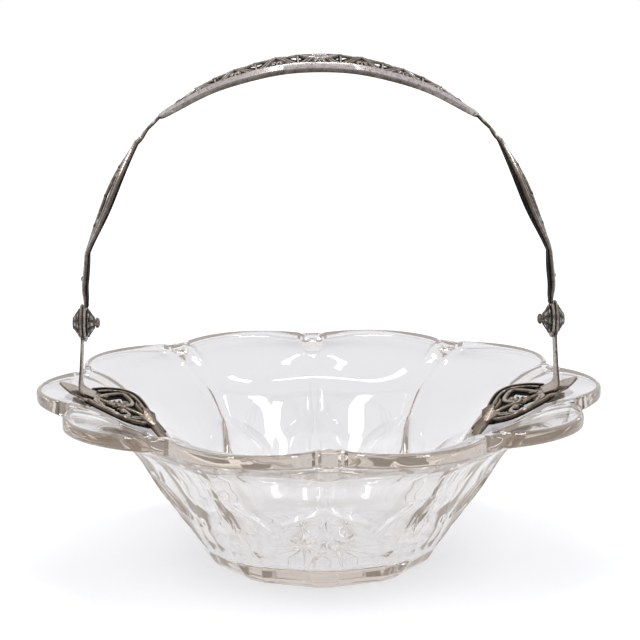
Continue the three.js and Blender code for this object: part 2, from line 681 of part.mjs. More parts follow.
// A nut that stands on its origin, with its bore.
function nutGeometry(bore) {
  const corners = steps(NUT_SIDES).slice(0, -1).map((share) => {
    const turn = 2 * Math.PI * share;
    return new THREE.Vector2(Math.cos(turn), Math.sin(turn)).multiplyScalar(NUT_RADIUS);
  });
  const shape = new THREE.Shape(corners);
  shape.holes.push(new THREE.Path().absarc(0, 0, bore, 0, 2 * Math.PI, true));
  return new THREE.ExtrudeGeometry(shape, { depth: NUT, bevelEnabled: false, curveSegments: BORE_SIDES });
}

// Stud, two washers and nut of one mount, in order along the stud.
function fasteners(sideName, side) {
  const { origin, turn } = studFrame(side);
  const bore = STUD_RADIUS + GAP;
  const leatherFoot = -WASHER_SEAT - LEATHER;
  const washerFoot = leatherFoot - GAP - WASHER;
  const nutFoot = washerFoot - GAP - NUT;
  const studTop = glassThickness(studShare) + SEAT_GAP + PLATE - GAP / 2;
  const stud = rod(STUD_RADIUS, nutFoot - STUD_END, studTop);
  const leather = turned(ringCorners(bore, LEATHER_RADIUS, LEATHER), WASHER_SIDES);
  const washer = turned(ringCorners(bore, WASHER_RADIUS, WASHER), WASHER_SIDES);
  const pieces = [
    piece(`${sideName}_stud`, stud, BRASS),
    piece(`${sideName}_leather_washer`, leather.translate(0, 0, leatherFoot), LEATHER_FINISH),
    piece(`${sideName}_metal_washer`, washer.translate(0, 0, washerFoot), BRASS),
    piece(`${sideName}_nut`, nutGeometry(bore).translate(0, 0, nutFoot), BRASS),
  ];
  for (const mesh of pieces) {
    mesh.position.copy(origin);
    mesh.quaternion.copy(turn);
  }
  return pieces;
}

// Crown of the handle from the right pivot over the top to the left pivot.
const archCurve = (() => {
  const right = ARCH_SHARES.map(([spanShare, riseShare]) => (
    new THREE.Vector2(spanShare * HALF_SPAN, PIVOT_HEIGHT + riseShare * HANDLE_RISE)
  ));
  const left = right.map((point) => new THREE.Vector2(-point.x, point.y)).reverse();
  const top = new THREE.Vector2(0, PIVOT_HEIGHT + HANDLE_RISE);
  const curve = new THREE.SplineCurve([...right, top, ...left]);
  curve.arcLengthDivisions = STATIONS.arch;
  return curve;
})();
const archLength = archCurve.getLength();

// A point of the cambered band. Along is measured on the crown, across from its middle, and lift
// from the underside of the band.
function onBand(along, across, lift) {
  const share = THREE.MathUtils.clamp(along / archLength, 0, 1);
  const point = archCurve.getPointAt(share);
  const tangent = archCurve.getTangentAt(share);
  const height = lift - RAIL_HEIGHT - across * across / (2 * CAMBER_RADIUS);
  return new THREE.Vector3(point.x + tangent.y * height, across, point.y - tangent.x * height);
}

// The cambered middle of the handle: two plain rails, a pair of interlaced vines, an open
// cartouche at the top and pointed blades between the crossings.
function centerSpan() {
  const from = NECK_SHARE * archLength + GAP / 2;
  const run = archLength - 2 * from;
  const halfWidth = (share) => {
    const bulge = Math.sin(Math.PI * THREE.MathUtils.clamp(share, 0, 1)) ** BULGE_EXPONENT;
    return THREE.MathUtils.lerp(NECK_HALF_WIDTH, CENTER_HALF_WIDTH, bulge);
  };
  const members = [];
  for (const mirror of [1, -1]) {
    const rail = steps(STATIONS.rail).map((share) => [
      from + share * run, mirror * (halfWidth(share) - RAIL_WIDTH / 2),
    ]);
    const vine = steps(STATIONS.vine).slice(1, -1).map((share) => [
      from + share * run,
      mirror * (halfWidth(share) - RAIL_WIDTH) * Math.sin(Math.PI * VINE_WAVES * share),
    ]);
    const under = mirror > 0 ? 2 * INLAY : INLAY;
    members.push(bar(onBand, rail, RAIL_WIDTH, RAIL_HEIGHT));
    members.push(bar(onBand, vine, VINE_WIDTH, BAND - under, { base: under }));
  }
  for (let wave = 1; wave < VINE_WAVES; wave += 1) {
    const middle = from + run * wave / VINE_WAVES;
    const atTop = wave === VINE_WAVES / 2;
    members.push(atTop ? cartouche(middle) : blade(middle, run / VINE_WAVES));
  }
  return piece('handle_center_span', geometryOf(joined(members)), SILVER);
}

// The open cartouche round the top of the handle.
function cartouche(middle) {
  const ring = steps(STATIONS.cartouche).slice(0, -1).map((share) => [
    middle + CARTOUCHE_LENGTH / 2 * Math.cos(2 * Math.PI * share),
    CARTOUCHE_WIDTH / 2 * Math.sin(2 * Math.PI * share),
  ]);
  return bar(onBand, ring, VINE_WIDTH, RAIL_HEIGHT, { closed: true });
}

// A pointed blade over one crossing of the vines.
function blade(middle, pitch) {
  const half = pitch * BLADE_REACH_SHARE;
  const path = steps(STATIONS.blade).map((share) => [middle + (2 * share - 1) * half, 0]);
  const width = (share) => BLADE_WIDTH * (BLADE_TIP_SHARE + Math.sin(Math.PI * share));
  return bar(onBand, path, width, BAND + INLAY, { base: INLAY / 2 });
}

// A pointed-oval bow between two places along an arm: [along, across] on one side.
function bow(from, to, half, count) {
  return steps(count).map((share) => [
    THREE.MathUtils.lerp(from, to, share),
    half * Math.sin(Math.PI * share) ** BOW_EXPONENT,
  ]);
}

// One cast arm of the handle, from the eye up: pierced tongue, three bars, crossing link and neck.
function handleArm(name, side) {
  const place = (along, across, lift) => {
    const point = onBand(along, across, lift);
    return new THREE.Vector3(side * point.x, point.y, point.z);
  };
  const tongueStart = ROSETTE_RADIUS + ARM_RAIL_WIDTH / 2 + 2 * GAP;
  const tongueEnd = TONGUE_END_SHARE * archLength;
  const armEnd = ARM_END_SHARE * archLength;
  const neck = NECK_SHARE * archLength - GAP / 2;
  const lap = RAIL_WIDTH / 2;
  const members = [];
  for (const mirror of [1, -1]) {
    const tongueHalf = mirror * (TONGUE_HALF_WIDTH - ARM_RAIL_WIDTH / 2);
    const tongue = bow(tongueStart, tongueEnd + lap, tongueHalf, STATIONS.tongue);
    members.push(bar(place, tongue, ARM_RAIL_WIDTH, TONGUE_BAND));
    const outerHalf = mirror * (ARM_HALF_WIDTH - ARM_RAIL_WIDTH / 2);
    const outer = bow(tongueEnd - lap, armEnd + lap, outerHalf, STATIONS.armRail);
    members.push(bar(place, outer, ARM_RAIL_WIDTH, RAIL_HEIGHT, { base: INLAY }));
    const link = steps(STATIONS.link).map((share) => {
      const swing = LINK_HALF_WIDTH * Math.sin(2 * Math.PI * share) * (1 - share / 2);
      const spread = share * LINK_BAR_WIDTH * LINK_SPREAD_SHARE;
      return [THREE.MathUtils.lerp(armEnd - lap, neck, share), mirror * (swing + spread)];
    });
    members.push(bar(place, link, LINK_BAR_WIDTH, BAND, { base: mirror > 0 ? 2 * INLAY : INLAY }));
  }
  const straight = (from, to, count) => steps(count).map((share) => [
    THREE.MathUtils.lerp(from, to, share), 0,
  ]);
  const middle = straight(tongueEnd, armEnd, STATIONS.armBar);
  members.push(bar(place, middle, ARM_RAIL_WIDTH, BAND, { base: 2 * INLAY }));
  const root = straight(ROSETTE_RADIUS + 2 * GAP, tongueStart + lap, 2);
  members.push(bar(place, root, TONGUE_HALF_WIDTH, TONGUE_BAND, { base: INLAY }));
  const toEye = alongX(side, HALF_SPAN - HANDLE_EYE);
  members.push(solid(turned(ringCorners(0, EYE_RADIUS, HANDLE_EYE), EYE_SIDES), toEye));
  const bore = solid(rod(PIN_RADIUS + PIN_CLEARANCE, -OVERRUN, HANDLE_EYE + OVERRUN), toEye);
  return piece(name, geometryOf(joined(members).subtract(bore)), SILVER);
}

const group = new THREE.Group();
group.add(glassBowl());
for (const [sideName, side] of [['left', -1], ['right', 1]]) {
  group.add(medallion(`${sideName}_medallion`, side));
  group.add(strap(`${sideName}_strap`, side));
  group.add(...fasteners(sideName, side));
  group.add(...pivotPieces(sideName, side));
  group.add(handleArm(`${sideName}_handle_arm`, side));
}
group.add(centerSpan());

export default group;
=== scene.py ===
"""Looks of a cut-crystal basket: a ten-lobed glass bowl under a swinging openwork silver handle.

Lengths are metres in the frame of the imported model: +Z up, X from mount to mount, the origin in the
middle of the flat foot. Angles round the bowl start at the right-hand mount.
"""

from __future__ import annotations

import json
import logging
import math
from collections.abc import Callable, Iterable, Sequence
from dataclasses import dataclass, field
from enum import Enum
from typing import ClassVar

import bmesh
import bpy
import numpy as np
from mathutils import Matrix, Vector

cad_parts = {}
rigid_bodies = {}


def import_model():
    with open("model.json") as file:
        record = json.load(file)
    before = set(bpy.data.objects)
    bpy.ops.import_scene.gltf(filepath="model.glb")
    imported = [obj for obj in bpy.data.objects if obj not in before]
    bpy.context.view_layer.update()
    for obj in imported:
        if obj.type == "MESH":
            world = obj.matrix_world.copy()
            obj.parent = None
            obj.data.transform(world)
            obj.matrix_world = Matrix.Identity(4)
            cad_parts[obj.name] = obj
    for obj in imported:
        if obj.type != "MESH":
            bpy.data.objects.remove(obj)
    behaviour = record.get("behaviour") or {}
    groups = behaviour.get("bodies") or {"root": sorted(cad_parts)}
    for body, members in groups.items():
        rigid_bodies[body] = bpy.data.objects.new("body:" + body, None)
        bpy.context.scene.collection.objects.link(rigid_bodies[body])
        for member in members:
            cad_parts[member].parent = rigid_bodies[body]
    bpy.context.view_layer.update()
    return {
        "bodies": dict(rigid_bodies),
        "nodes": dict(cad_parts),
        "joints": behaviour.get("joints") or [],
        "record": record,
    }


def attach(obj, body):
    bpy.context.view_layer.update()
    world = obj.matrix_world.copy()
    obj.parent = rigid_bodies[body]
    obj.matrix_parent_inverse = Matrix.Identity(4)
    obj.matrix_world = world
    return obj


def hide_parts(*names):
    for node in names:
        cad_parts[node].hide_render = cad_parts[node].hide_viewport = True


LOG = logging.getLogger("crystal_basket")

Material = bpy.types.Material
Group = bpy.types.NodeTree
Socket = bpy.types.NodeSocket
BMesh = bmesh.types.BMesh
Place = Callable[[float, float, float], Vector]
Size = float | Callable[[float], float]
Point = tuple[float, float]
Path = Sequence[Point]
HalfLobe = list[tuple[float, float, float]]
Color = tuple[float, float, float]


class Side(Enum):
    """The two ends of the pivot axis."""

    LEFT = -1
    RIGHT = 1

    @property
    def word(self) -> str:
        """The side's name as the CAD nodes spell it."""
        return self.name.lower()


def mirrored(*corners: tuple[float, float, float]) -> tuple[tuple[float, float, float], ...]:
    """A whole cross-section from the corners of its left half, the middle one included if there is one."""
    return (*corners, *((-aside, lift, relief) for aside, lift, relief in reversed(corners) if aside))


class Section(Enum):
    """Cross-sections of cast bars: share of half the width, share of the height, relief from 0 to 1. Low
    relief colours the metal dark (patina and painted shade), high relief bright (polish and a painted
    highlight).
    """

    ROUND = mirrored((-1.0, 0.0, 0.0), (-0.93, 0.42, 0.3), (-0.66, 0.82, 0.75), (0.0, 1.0, 1.0))
    LEAF = mirrored(
        (-1.0, 0.0, 0.0), (-0.88, 0.5, 0.45), (-0.48, 1.0, 1.0), (-0.14, 0.72, 0.45), (0.0, 0.52, 0.1),
    )
    CHANNEL = mirrored(
        (-1.0, 0.0, 0.1), (-1.0, 0.62, 0.75), (-0.8, 0.9, 1.0), (-0.58, 0.86, 0.9), (-0.46, 0.5, 0.05),
    )
    # A near-black sheet of painted shade, laid under bars so that dark outlines stand round them.
    GROUND = mirrored((-1.0, 0.0, 0.0), (-0.96, 1.0, 0.04))
    WEB = mirrored((-1.0, 0.0, 0.2), (-0.96, 1.0, 0.45))
    FLAT = (
        (-1.0, 0.0, 0.7), (-1.0, 0.7, 0.85), (-0.86, 1.0, 1.0), (0.86, 1.0, 0.95), (1.0, 0.7, 0.85),
        (1.0, 0.0, 0.7),
    )


class SmoothCurve:
    """A smooth plane curve through given points, read by the share of its length."""

    def __init__(self, knots: Path, divisions: int = 1200) -> None:
        """Samples the curve finely.

        Args:
            knots: Points that the curve passes through.
            divisions: Number of samples along it.
        """
        knot = np.array(knots)
        last = len(knot) - 1
        reach = np.linspace(0, last, divisions + 1)
        lower = np.clip(np.floor(reach).astype(int), 0, last - 1)
        weight = (reach - lower)[:, None]
        before, start = knot[np.maximum(lower - 1, 0)], knot[lower]
        end, after = knot[lower + 1], knot[np.minimum(lower + 2, last)]
        leave, arrive = (end - before) / 2, (after - start) / 2
        self.samples = (
            (2 * start - 2 * end + leave + arrive) * weight**3
            + (3 * end - 3 * start - 2 * leave - arrive) * weight**2 + leave * weight + start
        )
        steps = np.linalg.norm(np.diff(self.samples, axis=0), axis=1)
        self.run = np.concatenate([[0.0], np.cumsum(steps)])
        self.length = float(self.run[-1])

    def point(self, share: float) -> Vector:
        """The point at a share of the length, as a 2-D vector."""
        run = share * self.length
        return Vector(float(np.interp(run, self.run, self.samples[:, axis])) for axis in (0, 1))

    def tangent(self, share: float) -> Vector:
        """The unit direction at a share of the length."""
        reach = 0.0005
        return (self.point(min(share + reach, 1)) - self.point(max(share - reach, 0))).normalized()

    def spaced(self, count: int) -> list[Point]:
        """Points at even distances along the curve, ends included."""
        return [tuple(self.point(step / count)) for step in range(count + 1)]


def lerp(start: float, end: float, share: float) -> float:
    """Straight blend from one value to another."""
    return start + (end - start) * share


def smoothstep(value: float, low: float, high: float) -> float:
    """Smooth step from 0 at low to 1 at high."""
    share = min(max((value - low) / (high - low), 0.0), 1.0)
    return share * share * (3 - 2 * share)


def table_value(table: Path, share: float) -> float:
    """Value of a table of (share, value) rows, straight between its rows."""
    return float(np.interp(share, [row[0] for row in table], [row[1] for row in table]))


def steps(count: int) -> list[float]:
    """Evenly spaced shares from 0 to 1."""
    return [step / count for step in range(count + 1)]


def drape(bm: BMesh, columns: int, rows: int, place: Callable[[int, int], Vector]) -> list:
    """Lays a grid of quads over a form.

    Args:
        bm: Mesh that takes the grid.
        columns: Number of points from side to side.
        rows: Number of points from end to end.
        place: Gives the point at a column and a row.

    Returns:
        The grid's vertices, row by row.
    """
    made = bmesh.ops.create_grid(bm, x_segments=columns - 1, y_segments=rows - 1, size=1)["verts"]
    for index, vert in enumerate(made):
        vert.co = place(index % columns, index // columns)
    return made


def close_up(bm: BMesh, weld: float = 1e-6) -> None:
    """Merges the doubles of a mesh, caps its open ends and turns its faces outwards.

    Args:
        bm: The mesh.
        weld: Distance under which two points become one.
    """
    bmesh.ops.remove_doubles(bm, verts=bm.verts[:], dist=weld)
    bmesh.ops.holes_fill(bm, edges=[edge for edge in bm.edges if edge.is_boundary])
    bmesh.ops.recalc_face_normals(bm, faces=bm.faces[:])


def placed(name: str, data: bpy.types.ID) -> bpy.types.Object:
    """A new object in the scene that shows the given data."""
    made = bpy.data.objects.new(name, data)
    bpy.context.scene.collection.objects.link(made)
    return made


def creased(mesh: bpy.types.Mesh, degrees: float) -> None:
    """Smooths the faces of a mesh and keeps its edges from an angle on sharp."""
    mesh.shade_smooth()
    mesh.set_sharp_from_angle(angle=math.radians(degrees))


def finished_piece(name: str, bm: BMesh, crease_degrees: float = 30) -> bpy.types.Object:
    """Turns a bmesh into a scene object with smooth faces and sharp creases.

    Args:
        name: Name of the piece.
        bm: Its mesh, which is freed.
        crease_degrees: Angle from which an edge stays sharp.

    Returns:
        The new object.
    """
    mesh = bpy.data.meshes.new(name)
    bm.to_mesh(mesh)
    bm.free()
    creased(mesh, crease_degrees)
    return placed(name, mesh)


def cut(piece: bpy.types.Object, cutter: BMesh, crease_degrees: float = 30) -> None:
    """Cuts a closed shape out of a piece for good.

    Args:
        piece: Piece that is cut.
        cutter: Closed mesh to take away, which is freed.
        crease_degrees: Angle from which an edge of the result stays sharp.
    """
    tool = finished_piece("cutter", cutter)
    modifier = piece.modifiers.new("cut", "BOOLEAN")
    modifier.operation = "DIFFERENCE"
    modifier.solver = "MANIFOLD"
    modifier.object = tool
    held = piece.evaluated_get(bpy.context.evaluated_depsgraph_get())
    mesh = bpy.data.meshes.new_from_object(held)
    piece.modifiers.clear()
    old, piece.data = piece.data, mesh
    bpy.data.meshes.remove(old)
    bpy.data.meshes.remove(tool.data)
    mesh.name = piece.name
    creased(mesh, crease_degrees)


@dataclass
class GlassForm:
    """Sizes and curves of the bowl, shared by the glass and by the mounts that lie on it."""

    lobes: int = 10
    height: float = 0.075
    lobe_radius: float = 0.120
    notch_radius: float = 0.1065
    notch_slope: float = 0.6
    foot_radius: float = 0.0465
    lip: float = 0.005
    wall: float = 0.0085
    panel_shares: Path = (
        (0, 0), (0.056, 0.1), (0.116, 0.2), (0.195, 0.35), (0.272, 0.471), (0.333, 0.586),
        (0.395, 0.7), (0.463, 0.779), (0.605, 0.858), (0.796, 0.948), (1, 1),
    )
    notch_blend_shares: tuple[float, float] = (0.56, 1)
    lip_blend_shares: tuple[float, float] = (0.4, 0.85)
    run_steps: int = 240
    panel: SmoothCurve = field(init=False)
    inner_run: list[Point] = field(init=False)

    def __post_init__(self) -> None:
        """Draws the panel curve and measures the run of the inside from the rim down."""
        self.half_lobe = math.pi / self.lobes
        self.panel = SmoothCurve([
            (lerp(self.foot_radius, self.lobe_radius, radius), height * (self.height - self.lip))
            for radius, height in self.panel_shares
        ])
        self.inner_run = [(0.0, 1.0)]
        last = self.inner(1)
        for step in range(1, self.run_steps + 1):
            share = 1 - step / self.run_steps
            point = self.inner(share)
            self.inner_run.append((self.inner_run[-1][0] + (point - last).length, share))
            last = point

    def thickness(self, share: float) -> float:
        """Thickness of the glass: the wall below, thinning to the lip."""
        return lerp(self.wall, self.lip, smoothstep(share, *self.lip_blend_shares))

    def normal(self, share: float) -> Vector:
        """Normal of the panel curve that points into the glass."""
        tangent = self.panel.tangent(share)
        return Vector((-tangent.y, tangent.x))

    def inner(self, share: float) -> Vector:
        """Inside of the bowl at the middle of a lobe, as radius and height."""
        return self.panel.point(share) + self.normal(share) * self.thickness(share)

    def blend(self, share: float) -> float:
        """How far the outline has turned from a ten-sided body below to the lobed rim above."""
        return smoothstep(share, *self.notch_blend_shares)

    def radius_at(self, middle: float, notch: float, angle: float) -> float:
        """Radius at an angle from a lobe's middle, given the radii at its middle and its notches."""
        return lerp(middle, notch, (angle / self.half_lobe) ** 2)

    def panel_height(self, radius: float) -> float:
        """Height of the panel curve at a radius."""
        return float(np.interp(radius, self.panel.samples[:, 0], self.panel.samples[:, 1]))

    def share_at_run(self, run: float) -> float:
        """Share of the panel curve at a run of the inside, measured from the rim down."""
        return float(np.interp(run, *zip(*self.inner_run)))

    def on_glass(self, side: Side, run: float, across: float, lift: float) -> Vector:
        """A point over the inside of a side lobe.

        Args:
            side: Which side lobe.
            run: Distance from the rim, down the inside.
            across: Distance from the middle of the lobe.
            lift: Distance over the glass.

        Returns:
            The point.
        """
        share = self.share_at_run(run)
        middle, normal = self.inner(share), self.normal(share)
        notch = middle.x * lerp(1, self.notch_radius / self.lobe_radius, self.blend(share))
        angle = across / middle.x
        radius = self.radius_at(middle.x, notch, angle) + normal.x * lift
        return Vector((
            side.value * radius * math.cos(angle), radius * math.sin(angle), middle.y + normal.y * lift,
        ))


@dataclass
class CrystalBowl:
    """The glass bowl with its panels, pillars, leaf cuts, star-cut base and bores."""

    form: GlassForm
    floor: float = 0.010
    floor_radius: float = 0.038
    rim_round: float = 0.0016
    edge_round: float = 0.0013
    edge_slope: float = 0.24
    foot_ease: float = 0.005
    foot_draw: float = 0.0018
    tab_half: float = 0.003
    tab_rise: float = 0.0009
    groove_width: float = 0.0034
    groove_depth: float = 0.0016
    leaf_width: float = 0.0095
    leaf_depth: float = 0.0013
    leaf_shares: Point = (0.24, 0.47)
    leaf_reach: float = 0.95
    leaf_overlap: float = 1.15
    leaf_power: float = 1.5
    leaf_columns: int = 6
    leaf_rows: int = 16
    star_radius: float = 0.034
    star_valley: float = 0.009
    star_depth: float = 0.0012
    bore_radius: float = 0.0023
    bore_sides: int = 32
    overrun: float = 0.001
    inner_shares: Point = (0.985, 0.22)
    fillet_lead: float = 0.1
    knee_shares: Point = (0.55, 0.3)
    pillar_width_shares: Path = (
        (0, 1.2), (0.1, 2.2), (0.2, 1.5), (0.24, 0.6), (0.31, 0.8), (0.47, 0.3), (0.7, 0.7), (1, 1),
    )
    groove_width_shares: Path = ((0, 0.5), (0.47, 0.6), (0.85, 0.9), (1, 1))
    relief_shares: Path = ((0, 0), (0.24, 0), (0.31, 0.3), (0.47, 0.25), (0.8, 0.2), (0.92, 0.4), (1, 1))
    panel_columns: int = 7
    groove_columns: int = 3
    tab_columns: int = 2
    outer_rings: int = 50
    inner_rings: int = 40
    fillet_rings: int = 8
    foot_rings: Sequence[float] = (0, 0.005, 0.012, 0.02, 0.029)
    round_turns: Sequence[float] = tuple(math.pi / 2 * step / 4 for step in range(5))
    crease_degrees: float = 20

    def outer_half_lobe(self, share: float) -> HalfLobe:
        """Half a lobe of the outside at one share of the panel curve.

        Args:
            share: Share of the panel curve.

        Returns:
            Angle, radius and height of each point, from the middle of the lobe to its notch.
        """
        form = self.form
        middle, height = form.panel.point(share)
        blend = form.blend(share)
        notch_share = form.notch_radius / form.lobe_radius

        def side_radius(angle: float) -> float:
            """Radius of the panel without its pillar."""
            lobed = form.radius_at(middle, middle * notch_share, angle)
            return lerp(middle / math.cos(angle), lobed, blend)

        notch = side_radius(form.half_lobe)
        tab = self.tab_half * table_value(self.pillar_width_shares, share)
        groove = self.groove_width * table_value(self.groove_width_shares, share)
        relief = table_value(self.relief_shares, share)
        tab_angle = form.half_lobe - tab / notch
        panel_end = form.half_lobe - (tab + groove) / notch
        tab_radius = side_radius(tab_angle) + self.tab_rise * relief
        outline = [
            (column * panel_end, side_radius(column * panel_end)) for column in steps(self.panel_columns)
        ]
        for column in steps(self.groove_columns)[1:]:
            angle = lerp(panel_end, tab_angle, column)
            edge = lerp(side_radius(angle), tab_radius, smoothstep(column, 0, 1))
            outline.append((angle, edge - self.groove_depth * relief * math.sin(math.pi * column)))
        for column in steps(self.tab_columns)[1:]:
            angle = lerp(tab_angle, form.half_lobe, column)
            facing = math.cos(form.half_lobe - tab_angle) / math.cos(form.half_lobe - angle)
            outline.append((angle, tab_radius * facing))
        half_lobe = []
        for angle, radius in outline:
            lobed_height = form.panel_height(lerp(middle, side_radius(angle), form.notch_slope))
            half_lobe.append((angle, radius, lerp(height, lobed_height, blend)))
        return half_lobe

    def eased(self, half_lobe: HalfLobe) -> HalfLobe:
        """Half a lobe drawn in towards the bottom edge of the foot."""
        return [
            (angle, radius - self.foot_draw * max(0.0, 1 - height / self.foot_ease) ** 2, height)
            for angle, radius, height in half_lobe
        ]

    def inner_half_lobe(self, middle: float, height: float, blend: float) -> HalfLobe:
        """Half a lobe of the smooth inside at one height, on the angles of the rim."""
        notch = middle * lerp(1, self.form.notch_radius / self.form.lobe_radius, blend)
        return [
            (angle, self.form.radius_at(middle, notch, angle), height)
            for angle, _, _ in self.outer_half_lobe(1)
        ]

    def profile(self) -> list[HalfLobe]:
        """All half lobes of the glass, from the foot over the rim to the edge of the floor."""
        form = self.form
        shares = [*self.foot_rings, *steps(self.outer_rings)[2:-1]]
        rings = [self.eased(self.outer_half_lobe(share)) for share in shares]
        rim = self.outer_half_lobe(1)
        round_, edge = self.rim_round, self.edge_round
        for turn in self.round_turns:
            sine, cosine = math.sin(turn), math.cos(turn)
            rings.append([
                (angle, radius - edge * (1 - sine), height + edge * (1 - self.edge_slope - cosine))
                for angle, radius, height in rim
            ])
        for turn in self.round_turns:
            sine, cosine = math.sin(turn), math.cos(turn)
            rings.append([
                (angle, radius - round_ * (1 - cosine), form.height - round_ * (1 - sine))
                for angle, radius, _ in rim
            ])
        top_share, lowest_share = self.inner_shares
        for step in steps(self.inner_rings):
            share = lerp(top_share, lowest_share, step)
            point = form.inner(share)
            rings.append(self.inner_half_lobe(point.x, point.y, form.blend(share)))
        before, lowest = form.inner(lowest_share + self.fillet_lead), form.inner(lowest_share)
        outward, upward = self.knee_shares
        knee = (lerp(self.floor_radius, lowest.x, outward), lerp(self.floor, lowest.y, upward))
        fillet = SmoothCurve(
            [tuple(before), tuple(lowest), knee, (self.floor_radius, self.floor), (0, self.floor)]
        )
        for radius, height in fillet.spaced(4 * self.fillet_rings)[1:]:
            if height < lowest.y and radius > self.floor_radius:
                rings.append(self.inner_half_lobe(radius, height, 0))
        rings.append(self.inner_half_lobe(self.floor_radius, self.floor, 0))
        return rings

    def body(self) -> BMesh:
        """The closed glass body before its cuts."""
        rings = self.profile()
        half = len(rings[0]) - 1
        columns = 2 * half * self.form.lobes

        def place(column: int, row: int) -> Vector:
            """A point of the body by column round the bowl and ring."""
            lobe, within = divmod(column, 2 * half)
            mirrored = within > half
            angle, radius, height = rings[row][2 * half - within if mirrored else within]
            turn = 2 * lobe * self.form.half_lobe
            turn += 2 * self.form.half_lobe - angle if mirrored else angle
            return Vector((radius * math.cos(turn), radius * math.sin(turn), height))

        bm = bmesh.new()
        drape(bm, columns + 1, len(rings), place)
        close_up(bm)
        return bm

    def star_cutter(self) -> BMesh:
        """A star of V-shaped cuts that meet in a point under the middle of the base."""
        bm = bmesh.new()
        points = 4 * self.form.lobes
        made = bmesh.ops.create_cone(
            bm, cap_ends=True, cap_tris=True, segments=points,
            radius1=self.star_radius, radius2=0, depth=self.star_depth,
        )["verts"]
        bmesh.ops.translate(bm, verts=made, vec=(0, 0, self.star_depth / 2))
        rim = [vert for vert in made if vert.co.xy.length > self.star_radius / 2]
        rim.sort(key=lambda vert: math.atan2(vert.co.y, vert.co.x))
        for index, vert in enumerate(rim):
            radius = self.star_radius if index % 2 else self.star_valley
            turn = 2 * math.pi * index / points
            vert.co = Vector((radius * math.cos(turn), radius * math.sin(turn), 0))
        base = [face for face in bm.faces if all(vert.co.z < self.star_depth / 4 for vert in face.verts)]
        grown = bmesh.ops.extrude_face_region(bm, geom=base)["geom"]
        lowered = [item for item in grown if isinstance(item, bmesh.types.BMVert)]
        bmesh.ops.translate(bm, verts=lowered, vec=(0, 0, -self.overrun))
        bmesh.ops.delete(bm, geom=base, context="FACES_KEEP_BOUNDARY")
        bmesh.ops.recalc_face_normals(bm, faces=bm.faces[:])
        return bm

    def leaf_cutters(self) -> BMesh:
        """All leaf cuts: shallow troughs that run from a pillar's waist down to a panel's middle."""
        form = self.form
        low, high = self.leaf_shares
        bm = bmesh.new()
        foot, top = form.panel.point(low), form.panel.point(high)
        inward = form.normal((low + high) / 2)
        outward = Vector((-inward.x, 0, -inward.y))
        for lobe in range(form.lobes):
            turn = Matrix.Rotation(2 * lobe * form.half_lobe, 3, "Z")
            for hand in (1, -1):
                start = Vector((foot.x, 0, foot.y))
                end = Vector((top.x, hand * self.leaf_reach * top.x * math.tan(form.half_lobe), top.y))
                middle, half_way = (start + end) / 2, (end - start) / 2
                aside = half_way.cross(outward).normalized()
                shares = [lerp(-self.leaf_overlap, self.leaf_overlap, step) for step in steps(self.leaf_rows)]

                def place(column: int, row: int) -> Vector:
                    """A point of one trough: a flattened V, open over the glass."""
                    share = shares[row]
                    depth = self.leaf_depth * (1 - share * share)
                    half = self.leaf_width / 2 * (depth + self.overrun) / self.leaf_depth
                    spread = 2 * (column % (self.leaf_columns + 1)) / self.leaf_columns - 1
                    lift = self.overrun - (depth + self.overrun) * (1 - abs(spread) ** self.leaf_power)
                    return turn @ (middle + half_way * share + aside * half * spread + outward * lift)

                drape(bm, self.leaf_columns + 2, len(shares), place)
        close_up(bm)
        return bm

    def bore_cutters(self, axes: Iterable[Matrix]) -> BMesh:
        """Round bores for the studs, each along +Z of its own frame."""
        bm = bmesh.new()
        for frame in axes:
            made = bmesh.ops.create_cone(
                bm, cap_ends=True, segments=self.bore_sides, radius1=self.bore_radius,
                radius2=self.bore_radius, depth=4 * self.form.wall,
            )["verts"]
            bmesh.ops.transform(bm, verts=made, matrix=frame)
        return bm

    def build(self, axes: Iterable[Matrix], finish: Material) -> None:
        """Models the bowl and puts it in the place of its CAD node.

        Args:
            axes: Frames of the stud bores.
            finish: Material of the glass.
        """
        piece = finished_piece("crystal_bowl", self.body(), self.crease_degrees)
        for cutter in (self.star_cutter(), self.leaf_cutters(), self.bore_cutters(axes)):
            cut(piece, cutter, self.crease_degrees)
        dress(piece, finish, "basket", "crystal", ("glass_bowl",))


